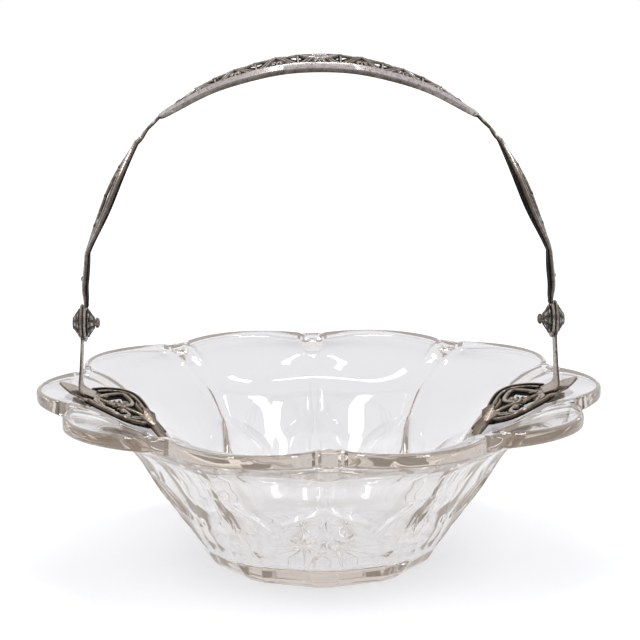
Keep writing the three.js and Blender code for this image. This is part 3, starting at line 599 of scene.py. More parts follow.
class Casting:
    """A cast piece that grows bar by bar, and keeps how high each point stands in its relief."""

    volute_steps = 22
    volute_inner = 0.22
    volute_tighten = 0.8
    volute_taper = 0.55
    volute_eye = 0.34

    def __init__(self, place: Place) -> None:
        """Starts an empty piece.

        Args:
            place: Puts (along, across, lift) on the sheet that the casting follows.
        """
        self.place = place
        self.bm = bmesh.new()
        # The relief layer sets the colour: dark patina with painted shade where low, polish with painted
        # highlights where high.
        self.relief = self.bm.verts.layers.float.new("relief")

    def bar(
        self, path: Path, width: Size, height: Size, section: Section = Section.ROUND,
        base: float = 0.0, closed: bool = False,
    ) -> None:
        """Adds a bar along a path.

        Args:
            path: Points of (along, across).
            width: Full width, or a function of the share of the path.
            height: Height of the crown, or a function of the share of the path.
            section: Cross-section.
            base: Lift of the underside.
            closed: Whether the end of the path joins its start.
        """
        profile, last = section.value, len(path) - 1

        def spot(column: int, row: int) -> Vector:
            """A point of the bar by corner of its section and station."""
            row %= len(path)
            before = path[(row - 1) % len(path) if closed else max(row - 1, 0)]
            after = path[(row + 1) % len(path) if closed else min(row + 1, last)]
            way = Vector((after[0] - before[0], after[1] - before[1])).normalized()
            aside, lift, _ = profile[column % len(profile)]
            half = size_at(width, row / last) / 2
            top = size_at(height, row / last)
            along, across = path[row]
            return self.place(
                along - way.y * aside * half, across + way.x * aside * half, base + lift * (top - base),
            )

        columns = len(profile) + 1
        for index, vert in enumerate(drape(self.bm, columns, len(path) + closed, spot)):
            vert[self.relief] = profile[index % columns % len(profile)][2]

    def frame(self, along: float, across: float, lift: float) -> Matrix:
        """A frame on the sheet with +Z away from it and +X along it.

        Args:
            along: Place along the sheet.
            across: Place across it.
            lift: Height over it.

        Returns:
            The frame.
        """
        reach = 0.0002
        origin = self.place(along, across, lift)
        ahead = (self.place(along + reach, across, lift) - origin).normalized()
        up = (self.place(along, across, lift + reach) - origin).normalized()
        beside = up.cross(ahead).normalized()
        turn = Matrix((beside.cross(up), beside, up)).transposed()
        return Matrix.Translation(origin) @ turn.to_4x4()

    def dome(
        self, along: float, across: float, lift: float, radius: float, height: float, turns: int = 12,
    ) -> None:
        """Adds a low dome or a bead.

        Args:
            along: Place along the sheet.
            across: Place across it.
            lift: Height of its middle plane.
            radius: Radius on the sheet.
            height: Height over the middle plane.
            turns: Number of sides.
        """
        rings = max(turns // 2, 4)
        made = bmesh.ops.create_uvsphere(self.bm, u_segments=turns, v_segments=rings, radius=1)["verts"]
        # Relief by height on the dome: a painted highlight on its top, painted shade underneath.
        for vert in made:
            vert[self.relief] = min(max(0.35 + vert.co.z * 0.75, 0.0), 1.0)
        scale = Matrix.Diagonal((radius, radius, height, 1))
        bmesh.ops.transform(self.bm, verts=made, matrix=self.frame(along, across, lift) @ scale)

    def beads(self, path: Path, lift: float, radius: float) -> None:
        """Adds a small bead at each point of a path."""
        for along, across in path:
            made = bmesh.ops.create_icosphere(self.bm, subdivisions=1, radius=radius)["verts"]
            # Each bead at full relief: polish and a painted highlight.
            for vert in made:
                vert[self.relief] = 1.0
            bmesh.ops.translate(self.bm, verts=made, vec=self.place(along, across, lift))

    def volute(
        self, middle: Point, radius: float, start_degrees: float, hand: int,
        width: float, height: float, turns: float = 1.1, base: float = 0.0,
    ) -> None:
        """Adds a curl that winds inwards to a small eye.

        Args:
            middle: Middle of the curl as (along, across).
            radius: Outer radius of the curl.
            start_degrees: Direction of its outer end.
            hand: 1 or -1 for the way that it winds.
            width: Width of the bar at its outer end.
            height: Height of its crown.
            turns: Number of turns.
            base: Lift of the underside.
        """
        path = []
        for step in steps(self.volute_steps):
            angle = math.radians(start_degrees) + hand * 2 * math.pi * turns * step
            reach = lerp(radius, self.volute_inner * radius, step**self.volute_tighten)
            path.append((middle[0] + reach * math.cos(angle), middle[1] + reach * math.sin(angle)))
        self.bar(path, lambda share: width * lerp(1, self.volute_taper, share), height, Section.ROUND, base)
        self.dome(*middle, (base + height) / 2, self.volute_eye * radius, 0.5 * height, 8)

    def turned(
        self, corners: Path, matrix: Matrix, turns: int = 32, relief: float = 0.8,
    ) -> None:
        """Adds a round form turned about the +Z axis of a frame.

        Args:
            corners: (radius, height) points of its outline.
            matrix: The frame.
            turns: Number of sides.
            relief: Height in the relief of the whole form.
        """
        verts = [self.bm.verts.new((radius, 0, height)) for radius, height in corners]
        edges = [self.bm.edges.new(pair) for pair in zip(verts, verts[1:])]
        before = set(self.bm.verts) - set(verts)
        bmesh.ops.spin(
            self.bm, geom=[*verts, *edges], cent=(0, 0, 0), axis=(0, 0, 1), angle=2 * math.pi,
            steps=turns, use_merge=True,
        )
        made = [vert for vert in self.bm.verts if vert not in before]
        for vert in made:
            vert[self.relief] = relief
        bmesh.ops.transform(self.bm, verts=made, matrix=matrix)

    def deliver(
        self, name: str, node: str, finish: Material, body: str = "basket", slot: str = "silver",
        crease_degrees: float = 38,
    ) -> None:
        """Closes the casting and puts it in the place of its CAD node.

        Args:
            name: Name of the new piece.
            node: CAD node that it replaces.
            finish: Its material.
            body: CAD body that it rides on.
            slot: The record's material slot.
            crease_degrees: Angle from which an edge stays sharp.
        """
        close_up(self.bm)
        dress(finished_piece(name, self.bm, crease_degrees), finish, body, slot, (node,))


def size_at(size: Size, share: float) -> float:
    """A plain size, or a size that changes along a path."""
    return size(share) if callable(size) else size


def straight(start: float, end: float, count: int, across: float = 0.0) -> list[Point]:
    """Points of a straight line along a sheet."""
    return [(lerp(start, end, share), across) for share in steps(count)]


def crosswise(along: float, half: float, count: int) -> list[Point]:
    """Points of a straight line across the middle of a sheet."""
    return [(along, across) for across in np.linspace(-half, half, count)]


def leaf_width(width: float, foot: float = 0.35, tip: float = 0.06) -> Callable[[float], float]:
    """Width of a leaf by share of its length: widest before its middle, pointed at the end."""
    return lambda share: width * (
        lerp(foot, tip, share) + (1 - lerp(foot, tip, share)) * math.sin(math.pi * min(share, 1) ** 0.8)
    )


@dataclass
class Mount:
    """One openwork medallion on the inside of a side lobe."""

    form: GlassForm
    side: Side
    length: float = 0.051
    half_width: float = 0.023
    inset: float = 0.008
    seat: float = 0.0005
    plate: float = 0.0013
    tip_curl: float = 0.0024
    stud_along: float = 0.012
    neck_length: float = 0.017
    neck_width: float = 0.020
    border_width: float = 0.0036
    border_height: float = 0.0023
    scroll_width: float = 0.0027
    scroll_height: float = 0.0018
    # Width and height of the dark sheets of painted shade under the bars.
    ground_width: float = 0.0058
    ground: float = 0.0005
    cuff_width: float = 0.0055
    cuff_height: float = 0.0026
    leaflet_width: float = 0.0039
    leaflet_height: float = 0.0017
    leaflets: int = 5
    fan_degrees: float = 11
    leaflet_root: float = 0.775
    ribs: int = 11
    rib_width: float = 0.0013
    boss_share: float = 0.53
    petals: int = 9
    petal_spread: float = 110
    petal_root: float = 0.0022
    petal_length: float = 0.0044
    petal_width: float = 0.0017
    petal_height: float = 0.0016
    fine: float = 0.0002
    neck_width_shares: Path = ((0, 0.04), (0.12, 0.3), (0.3, 0.66), (0.5, 0.62), (0.78, 1), (1, 0.95))
    border_shares: Path = (
        (0.265, 0.4), (0.33, 0.69), (0.44, 0.93), (0.57, 0.88), (0.69, 0.58), (0.76, 0.28),
    )
    scroll_shares: Path = (
        (0.335, 0.16), (0.385, 0.5), (0.46, 0.8), (0.57, 0.6), (0.6, 0.34), (0.53, 0.05),
    )
    frond_shares: Path = ((0.75, 0.14), (0.7, 0.32), (0.65, 0.5), (0.61, 0.78))
    stem_shares: Path = ((0.31, 0), (0.77, 0))
    curls: Sequence[tuple[float, ...]] = (
        (0.545, 0.33, 0.0024, 180, 1, 0.0012, 1.2), (0.36, 0.3, 0.0016, 0, -1, 0.001, 1.0),
    )
    domes: Sequence[tuple[float, ...]] = ((0.0012, 0.0027, 0.0013, 24), (0.0022, 0.0012, 0.0008, 16))
    cuff_shares: Path = ((0.73, -0.46), (0.765, -0.24), (0.775, 0), (0.765, 0.24), (0.73, 0.46))

    def drawn(self, shares: Path, count: int, mirror: int = 1) -> list[Point]:
        """A smooth path on the plate from shares of its length and half width."""
        knots = [(along * self.length, mirror * across * self.half_width) for along, across in shares]
        return SmoothCurve(knots).spaced(count)

    def medallion(self, finish: Material) -> None:
        """The openwork plate: neck, border, scrolls, boss, ribbed cuff and tail of leaves, with dark sheets
        of painted shade under its bars.
        """
        def place(along: float, across: float, lift: float) -> Vector:
            """A point of the plate, whose tip outside the stud curls up off the glass."""
            outside = max(0.0, 1 - along / self.stud_along) if along < self.neck_length else 0.0
            lift += self.tip_curl * outside * outside
            return self.form.on_glass(self.side, self.inset + along, across, self.seat + lift)

        plate = Casting(place)
        low, high = self.fine, 2 * self.fine
        plate.bar(
            straight(0, self.neck_length, 24),
            lambda share: self.neck_width * table_value(self.neck_width_shares, share),
            self.plate, Section.FLAT,
        )
        stem = self.drawn(self.stem_shares, 24)
        plate.bar(stem, self.scroll_width, self.scroll_height, Section.LEAF, high)
        # A dark sheet of painted shade under the stem.
        plate.bar(stem, self.ground_width, self.ground, Section.GROUND)
        frond_width = leaf_width(1.5 * self.scroll_width, 0.5)
        for mirror in (1, -1):
            for shares in (self.border_shares, self.scroll_shares, self.frond_shares):
                # Dark sheets of painted shade under the border, scrolls and fronds.
                plate.bar(self.drawn(shares, 30, mirror), self.ground_width, self.ground, Section.GROUND)
            for shares, count, width, height, section, base in (
                (self.border_shares, 40, self.border_width, self.border_height, Section.CHANNEL, low),
                (self.scroll_shares, 40, self.scroll_width, self.scroll_height, Section.ROUND, high),
                (self.frond_shares, 20, frond_width, self.scroll_height, Section.LEAF, high),
            ):
                plate.bar(self.drawn(shares, count, mirror), width, height, section, base)
            for along, across, radius, start, hand, width, turns in self.curls:
                middle = (along * self.length, mirror * across * self.half_width)
                plate.volute(middle, radius, start, hand * mirror, width, self.scroll_height, turns, high)
        self.add_boss(plate)
        self.add_cuff(plate)
        for leaflet in range(self.leaflets):
            self.add_leaflet(plate, leaflet)
        plate.deliver(f"{self.side.word}_cast_medallion", f"{self.side.word}_medallion", finish)

    def add_boss(self, plate: Casting) -> None:
        """The stepped boss in the middle of the plate, with petals round its outer half."""
        middle = self.boss_share * self.length
        for petal in steps(self.petals - 1):
            turn = math.radians(lerp(-self.petal_spread, self.petal_spread, petal))
            root = (middle - self.petal_root * math.cos(turn), self.petal_root * math.sin(turn))
            tip = (
                root[0] - self.petal_length * math.cos(turn), root[1] + self.petal_length * math.sin(turn),
            )
            plate.bar(
                [(lerp(root[0], tip[0], share), lerp(root[1], tip[1], share)) for share in steps(6)],
                leaf_width(self.petal_width, 0.6), self.petal_height, Section.LEAF, 2 * self.fine,
            )
        for lift, radius, height, turns in self.domes:
            plate.dome(middle, 0, lift, radius, height, turns)

    def add_cuff(self, plate: Casting) -> None:
        """The ribbed cuff between the plate and its tail."""
        path = self.drawn(self.cuff_shares, 24)
        plate.bar(path, self.cuff_width, self.cuff_height * 0.8, Section.ROUND)
        for rib in range(1, self.ribs + 1):
            along, across = path[2 * rib]
            half = self.cuff_width * 0.52
            lean = 0.35 * across
            ridge = [
                (along + reach * half, across + reach * lean * 0.3) for reach in (-1, -0.6, -0.2, 0.2, 0.6, 1)
            ]
            width = leaf_width(self.rib_width, 0.5, 0.4)
            plate.bar(ridge, width, self.cuff_height, Section.ROUND, 2 * self.fine)

    def add_leaflet(self, plate: Casting, leaflet: int) -> None:
        """One leaf of the tail, counted from one side."""
        offset = leaflet - (self.leaflets - 1) / 2
        turn = offset * math.radians(self.fan_degrees)
        root = (self.leaflet_root * self.length, offset * self.leaflet_width / 2)
        reach = (self.length - root[0]) * math.cos(turn)
        path = [
            (root[0] + share * reach * math.cos(turn), root[1] + share * reach * math.sin(turn))
            for share in steps(14)
        ]
        plate.bar(
            path, leaf_width(self.leaflet_width, 0.5, 0.1),
            lambda share: self.leaflet_height * lerp(1, 0.75, share), Section.LEAF, self.fine,
        )


class PivotSizes:
    """Sizes of the pivots, shared by the mounts and the handle."""

    half_span: ClassVar[float] = 0.09925
    pivot_height: ClassVar[float] = 0.1023
    gap: ClassVar[float] = 0.0003
    eye_radius: ClassVar[float] = 0.008
    bore_radius: ClassVar[float] = 0.0018
    handle_eye: ClassVar[float] = 0.0012
    rosette_radius: ClassVar[float] = 0.0062
    eye_sides: ClassVar[int] = 48

    def on_axis(self, side: Side, distance: float) -> Matrix:
        """A frame on the pivot axis.

        Args:
            side: End of the axis that its +Z points to.
            distance: Distance of its origin from the middle.

        Returns:
            The frame.
        """
        turn = Matrix.Rotation(side.value * math.pi / 2, 4, "Y")
        return Matrix.Translation((side.value * distance, 0, self.pivot_height)) @ turn

    def add_eye(self, casting: Casting, side: Side, distance: float, gauge: float, edge: float) -> None:
        """Adds a round eye with its bore on the pivot axis.

        Args:
            casting: Piece that takes it.
            side: End of the axis.
            distance: Distance of its inner face from the middle.
            gauge: Its thickness.
            edge: Width of its broken edges.
        """
        outline = ring_outline(self.bore_radius, self.eye_radius, gauge, 0, edge)
        casting.turned(outline, self.on_axis(side, distance), self.eye_sides)


@dataclass
class Pivot(PivotSizes):
    """The strap, rosettes and knob round one pivot's CAD pin, and the fastening under the lip."""

    form: GlassForm
    side: Side
    eye_edge: float = 0.0003
    strap_gauge: float = 0.001
    strap_seat: float = 0.0024
    strap_foot: float = 0.0065
    strap_base: float = 0.013
    strap_lift: float = 0.003
    rosette_height: float = 0.0032
    petals: int = 8
    petal_draw: Point = (0.14, 0.12)
    knob_radius: float = 0.0022
    knob_height: float = 0.0017
    stud_run: float = 0.020
    stud_radius: float = 0.0015
    stud_end: float = 0.0014
    thread_pitch: float = 0.0005
    thread_root_share: float = 0.86
    stud_tip_share: float = 0.75
    broken_edge: float = 0.00025
    washer_seat: float = 0.0008
    leather_radius: float = 0.0046
    leather: float = 0.0015
    washer_radius: float = 0.0042
    washer: float = 0.0008
    nut_radius: float = 0.0039
    nut: float = 0.003
    seat: float = 0.0018
    rosette_shares: HalfLobe = (
        (0.29, 0, 0.1), (1, 0, 0.2), (1.0, 0.16, 0.8), (0.93, 0.27, 1), (0.86, 0.3, 0.2), (0.78, 0.42, 0.7),
        (0.6, 0.66, 1), (0.48, 0.8, 0.8), (0.45, 0.8, 0.1), (0.41, 0.94, 0.8), (0.2, 1, 1), (0, 1, 1),
    )
    knob_shares: Path = (
        (0, 0), (0.92, 0), (1, 0.12), (1, 0.45), (0.9, 0.68), (0.66, 0.88), (0.3, 0.98), (0, 1),
    )
    strap_width_shares: Path = ((0, 0.82), (0.2, 0.95), (0.28, 1), (0.55, 0.66), (0.85, 0.55), (1, 0.62))

    def plain(self) -> Casting:
        """An empty casting that works in the part's own frame."""
        return Casting(lambda along, across, lift: Vector((along, across, lift)))

    def strap_path(self) -> list[tuple[Vector, Vector]]:
        """Points and normals of the strap's outer face, from its foot on the plate to its eye."""
        foot_end, foot, bend = (
            self.form.on_glass(Side.RIGHT, self.stud_run + reach * self.strap_foot / 2, 0, self.strap_seat)
            for reach in (1, 0, -1)
        )
        rise = Vector((bend.x, 0, bend.z + self.strap_lift))
        gauge = self.strap_gauge
        join = Vector((self.half_span + self.gap + gauge, 0, self.pivot_height - self.eye_radius + gauge))
        samples = [foot_end.lerp(foot, share) for share in steps(4)]
        for share in steps(10)[1:]:
            samples.append(foot.lerp(bend, share).lerp(bend.lerp(rise, share), share))
        samples += [rise.lerp(join, share) for share in steps(16)[1:]]
        stations = []
        for index, point in enumerate(samples):
            before, after = samples[max(index - 1, 0)], samples[min(index + 1, len(samples) - 1)]
            way = (after - before).normalized()
            stations.append((point, Vector((-way.z, 0, way.x))))
        return stations

    def strap(self, finish: Material) -> None:
        """The strap: foot over the stud, bend, tapering blade and eye outside the handle."""
        stations = self.strap_path()
        runs = [0.0]
        for (start, _), (end, _) in zip(stations, stations[1:]):
            runs.append(runs[-1] + (end - start).length)

        def place(along: float, across: float, lift: float) -> Vector:
            """A point of the strap by station, across its width, and through its gauge."""
            point, normal = stations[round(along)]
            spot = point + normal * lift
            return Vector((self.side.value * spot.x, across, spot.z))

        def width(share: float) -> float:
            """Width of the strap by share of its stations."""
            run = runs[round(share * (len(runs) - 1))] / runs[-1]
            return self.strap_base * table_value(self.strap_width_shares, run)

        strap = Casting(place)
        strap.bar([(station, 0) for station in range(len(stations))], width, self.strap_gauge, Section.FLAT)
        self.add_eye(strap, self.side, self.half_span + self.gap, self.strap_gauge, self.eye_edge)
        strap.deliver(f"{self.side.word}_cast_strap", f"{self.side.word}_strap", finish)

    def rosette(self, name: str, node: str, finish: Material, matrix: Matrix) -> None:
        """One petalled cone that stands on its wide face.

        Args:
            name: Name of the piece.
            node: CAD node that it replaces.
            finish: Its material.
            matrix: Frame with its +Z away from the eyes.
        """
        around = 8 * self.petals
        drawn_in, drawn_down = self.petal_draw
        rosette = self.plain()

        def petal_at(column: int) -> float:
            """How far a column lies out on its petal: 1 on its ridge, 0 between two petals."""
            return abs(math.cos(math.pi * self.petals * column / around))

        def spot(column: int, row: int) -> Vector:
            """A point of the cone, drawn in between its petals."""
            reach, rise, _ = self.rosette_shares[row]
            petal = petal_at(column)
            reach *= 1 - drawn_in * (1 - petal) * (reach > 0.5)
            rise -= drawn_down * (1 - petal) * (0.5 < reach < 0.95)
            turn = 2 * math.pi * column / around
            return matrix @ Vector((
                self.rosette_radius * reach * math.cos(turn), self.rosette_radius * reach * math.sin(turn),
                self.rosette_height * max(rise, 0),
            ))

        # Relief falls between the petals: patina and painted shade in the folds, painted highlights on the
        # petal ridges.
        for index, vert in enumerate(drape(rosette.bm, around + 1, len(self.rosette_shares), spot)):
            row, column = divmod(index, around + 1)
            reach, _, relief = self.rosette_shares[row]
            vert[rosette.relief] = relief * lerp(1, petal_at(column), 0.7 * (reach > 0.5))
        rosette.deliver(name, node, finish, slot="dark_silver", crease_degrees=30)

    def rosettes_and_knob(self, dark: Material, silver: Material) -> None:
        """Both rosettes and the round head at the inner end of the pin."""
        word, turned_in = self.side.word, Matrix.Rotation(math.pi, 4, "X")
        outer = self.half_span + 2 * self.gap + self.strap_gauge
        inner = self.half_span - self.handle_eye - self.gap
        for where, matrix in (
            ("outer", self.on_axis(self.side, outer)),
            ("inner", self.on_axis(self.side, inner) @ turned_in),
        ):
            self.rosette(f"{word}_{where}_petals", f"{word}_{where}_rosette", dark, matrix)
        knob = self.plain()
        corners = [
            (radius * self.knob_radius, height * self.knob_height) for radius, height in self.knob_shares
        ]
        foot = inner - self.rosette_height - self.gap
        knob.turned(corners, self.on_axis(self.side, foot) @ turned_in)
        knob.deliver(f"{word}_pin_head", f"{word}_pivot_knob", silver)

    def stud_frame(self) -> Matrix:
        """Frame of the stud: its origin under the lip and its +Z up into the bowl."""
        share = self.form.share_at_run(self.stud_run)
        foot, normal = self.form.panel.point(share), self.form.normal(share)
        up = Vector((self.side.value * normal.x, 0, normal.y))
        origin = Vector((self.side.value * foot.x, 0, foot.y))
        return Matrix.Translation(origin) @ Vector((0, 0, 1)).rotation_difference(up).to_matrix().to_4x4()

    def fastening(self, brass: Material, hide: Material) -> None:
        """Threaded stud, soft washer, metal washer and nut under the lip."""
        word, frame = self.side.word, self.stud_frame()
        leather_foot = -self.washer_seat - self.leather
        washer_foot = leather_foot - self.gap - self.washer
        nut_foot = washer_foot - self.gap - self.nut
        share = self.form.share_at_run(self.stud_run)
        top = self.form.thickness(share) + self.seat - self.gap / 2
        low, pitch, crest = nut_foot - self.stud_end, self.thread_pitch, self.stud_radius
        thread = [(0, low), (crest * self.stud_tip_share, low)]
        for turn in range(int((-low) / pitch)):
            root = (crest * self.thread_root_share, low + (turn + 1) * pitch)
            thread += [(crest, low + (turn + 0.5) * pitch), root]
        thread += [(crest, 0), (crest, top), (0, top)]
        bore, edge = self.stud_radius + self.gap, self.broken_edge
        leather = ring_outline(bore, self.leather_radius, self.leather, leather_foot, 2 * edge)
        washer = ring_outline(bore, self.washer_radius, self.washer, washer_foot, edge / 2)
        for part, corners, finish, slot, turns in (
            ("stud", thread, brass, "brass", 24),
            ("leather_washer", leather, hide, "leather", 40),
            ("metal_washer", washer, brass, "brass", 40),
            ("nut", ring_outline(bore, self.nut_radius, self.nut, nut_foot, edge), brass, "brass", 6),
        ):
            shape = self.plain()
            shape.turned(corners, frame, turns)
            shape.deliver(f"{word}_{part}_detail", f"{word}_{part}", finish, slot=slot, crease_degrees=25)


def ring_outline(bore: float, radius: float, height: float, foot: float, edge: float) -> list[Point]:
    """Outline of a ring with broken edges.

    Args:
        bore: Radius of its hole.
        radius: Outer radius.
        height: Its height.
        foot: Height of its lower face.
        edge: Width of the broken edges.

    Returns:
        Closed outline of (radius, height) points.
    """
    top = foot + height
    return [
        (bore, foot), (radius - edge, foot), (radius, foot + edge), (radius, top - edge),
        (radius - edge, top), (bore, top), (bore, foot),
    ]


@dataclass
class HandleForm(PivotSizes):
    """The arch of the handle and the cambered sheet that all its bars lie on."""

    rise: float = 0.1125
    camber_radius: float = 0.0154
    rail_height: float = 0.0019
    tongue_end: float = 0.088
    arm_end: float = 0.242
    neck: float = 0.288
    arch_shares: Path = (
        (1, 0), (1, 0.075), (1.008, 0.15), (0.985, 0.28), (0.938, 0.405), (0.88, 0.53),
        (0.802, 0.642), (0.703, 0.749), (0.582, 0.836), (0.452, 0.907), (0.306, 0.957), (0.155, 0.99),
    )
    arch: SmoothCurve = field(init=False)

    def __post_init__(self) -> None:
        """Draws the crown of the arch from the right pivot over the top to the left one."""
        right = [
            (span * self.half_span, self.pivot_height + rise * self.rise) for span, rise in self.arch_shares
        ]
        left = [(-x, z) for x, z in reversed(right)]
        self.arch = SmoothCurve([*right, (0, self.pivot_height + self.rise), *left])

    def on_band(self, along: float, across: float, lift: float) -> Vector:
        """A point of the cambered band.

        Args:
            along: Run of the crown from the right pivot.
            across: Distance from its middle.
            lift: Height over the underside of the band.

        Returns:
            The point.
        """
        share = min(max(along / self.arch.length, 0), 1)
        point, tangent = self.arch.point(share), self.arch.tangent(share)
        height = lift - self.rail_height - across * across / (2 * self.camber_radius)
        return Vector((point.x + tangent.y * height, across, point.y - tangent.x * height))


@dataclass
class HandleSpan:
    """The pierced middle of the handle, between its two narrow necks."""

    form: HandleForm
    band: float = 0.0015
    half_width: float = 0.013
    neck_half_width: float = 0.0027
    rail_width: float = 0.003
    vine_width: float = 0.0023
    web_width: float = 0.0044
    web: float = 0.0006
    waves: int = 8
    cartouche_length: float = 0.015
    cartouche_width: float = 0.011
    plaque_half: Point = (0.0032, 0.0042)
    border_half: Point = (0.0026, 0.0036)
    bead_radius: float = 0.0003
    blade_width: float = 0.005
    curl_radius: float = 0.0019
    curl_width: float = 0.0010
    curl_reach: float = 0.42
    cell_leaf_shares: Point = (0.3, 0.36)
    cross_width: float = 0.0011
    boss: Point = (0.0015, 0.0007)
    crossing_bead: Point = (0.0011, 0.0005)
    plaque_leaf: Point = (0.003, 0.0095)
    plaque_leaf_width: float = 0.0042
    end_beads_half: float = 0.0016
    bulge: float = 0.4
    fine: float = 0.0002

    def half_width_at(self, share: float) -> float:
        """Half the width of the span by share of its run."""
        swell = math.sin(math.pi * min(max(share, 0), 1)) ** self.bulge
        return lerp(self.neck_half_width, self.half_width, swell)

    def build(self, finish: Material) -> None:
        """Rails, interlaced vines, leaves at the crossings, curls in the eyes and the beaded plaque."""
        form = self.form
        length = form.arch.length
        start = form.neck * length + form.gap / 2
        run = length - 2 * start
        span = Casting(form.on_band)
        for mirror in (1, -1):
            rail = [
                (start + share * run, mirror * (self.half_width_at(share) - self.rail_width / 2))
                for share in steps(90)
            ]
            vine = []
            for share in steps(200)[2:-2]:
                half = mirror * (self.half_width_at(share) - self.rail_width)
                vine.append((start + share * run, half * math.sin(math.pi * self.waves * share)))
            span.bar(rail, self.rail_width, form.rail_height, Section.FLAT)
            span.bar(vine, self.vine_width, self.band, Section.LEAF, self.fine * (1.5 + mirror / 2))
            span.bar(vine, self.web_width, self.web, Section.WEB)
        for wave in range(self.waves):
            self.add_cell(span, start, run, wave)
        for wave in range(1, self.waves):
            middle = start + run * wave / self.waves
            if wave == self.waves // 2:
                self.add_plaque(span, middle)
            else:
                self.add_leaf_pair(span, middle, run / self.waves)
        span.deliver("handle_pierced_span", "handle_center_span", finish, "handle")

    def add_cell(self, span: Casting, start: float, run: float, wave: int) -> None:
        """Curls and a leaf between the rail and the vines of one wave."""
        pitch = run / self.waves
        middle = start + (wave + 0.5) * pitch
        room = self.half_width_at((wave + 0.5) / self.waves) - self.rail_width
        if 0 < wave < self.waves - 1:
            for mirror in (1, -1):
                for hand in (1, -1):
                    reach = self.curl_reach * hand
                    edge = self.half_width_at((wave + 0.5 + reach) / self.waves) - self.rail_width
                    spot = (middle + hand * self.curl_reach * pitch, mirror * (edge - self.curl_radius))
                    span.volute(
                        spot, self.curl_radius, 90 * mirror, -hand * mirror, self.curl_width, self.band,
                        1.0, self.fine,
                    )
            length, width = self.cell_leaf_shares
            span.bar(
                straight(middle - length * pitch, middle + length * pitch, 14), leaf_width(width * room, 0.1),
                self.band * 0.9, Section.LEAF, self.fine,
            )
        cross = crosswise(middle, room, 12)
        span.bar(cross, self.cross_width, self.band * 0.7, Section.ROUND, 1.5 * self.fine)
        span.dome(middle, 0, self.band * 0.6, *self.boss)

    def add_leaf_pair(self, span: Casting, middle: float, pitch: float) -> None:
        """Two pointed leaves that spring from one crossing of the vines."""
        for hand in (1, -1):
            blade = straight(middle, middle + hand * self.curl_reach * pitch, 16)
            span.bar(
                blade, leaf_width(self.blade_width, 0.5), lambda share: self.band * lerp(1.02, 0.8, share),
                Section.LEAF, self.fine / 2,
            )
        span.dome(middle, 0, self.band * 0.8, *self.crossing_bead)

    def add_plaque(self, span: Casting, middle: float) -> None:
        """The open cartouche round the top, with a small beaded plaque across it."""
        ring = [
            (
                middle + self.cartouche_length / 2 * math.cos(2 * math.pi * share),
                self.cartouche_width / 2 * math.sin(2 * math.pi * share),
            )
            for share in steps(48)[:-1]
        ]
        span.bar(ring, self.vine_width, self.band, Section.ROUND, 0, closed=True)
        half_length, half_width = self.plaque_half
        span.bar(crosswise(middle, half_width, 12), 2 * half_length, self.band, Section.FLAT, self.fine)
        end, side = self.border_half
        border = [spot for edge in (1, -1) for spot in crosswise(middle + edge * end, side, 8)]
        along_end = np.linspace(-self.end_beads_half, self.end_beads_half, 4)
        border += [(middle + along, edge * side) for edge in (1, -1) for along in along_end]
        span.beads(border, self.band - self.fine, self.bead_radius)
        for hand in (1, -1):
            start, end = (middle + hand * reach for reach in self.plaque_leaf)
            width = leaf_width(self.plaque_leaf_width, 0.7)
            span.bar(straight(start, end, 12), width, self.band, Section.LEAF, self.fine)


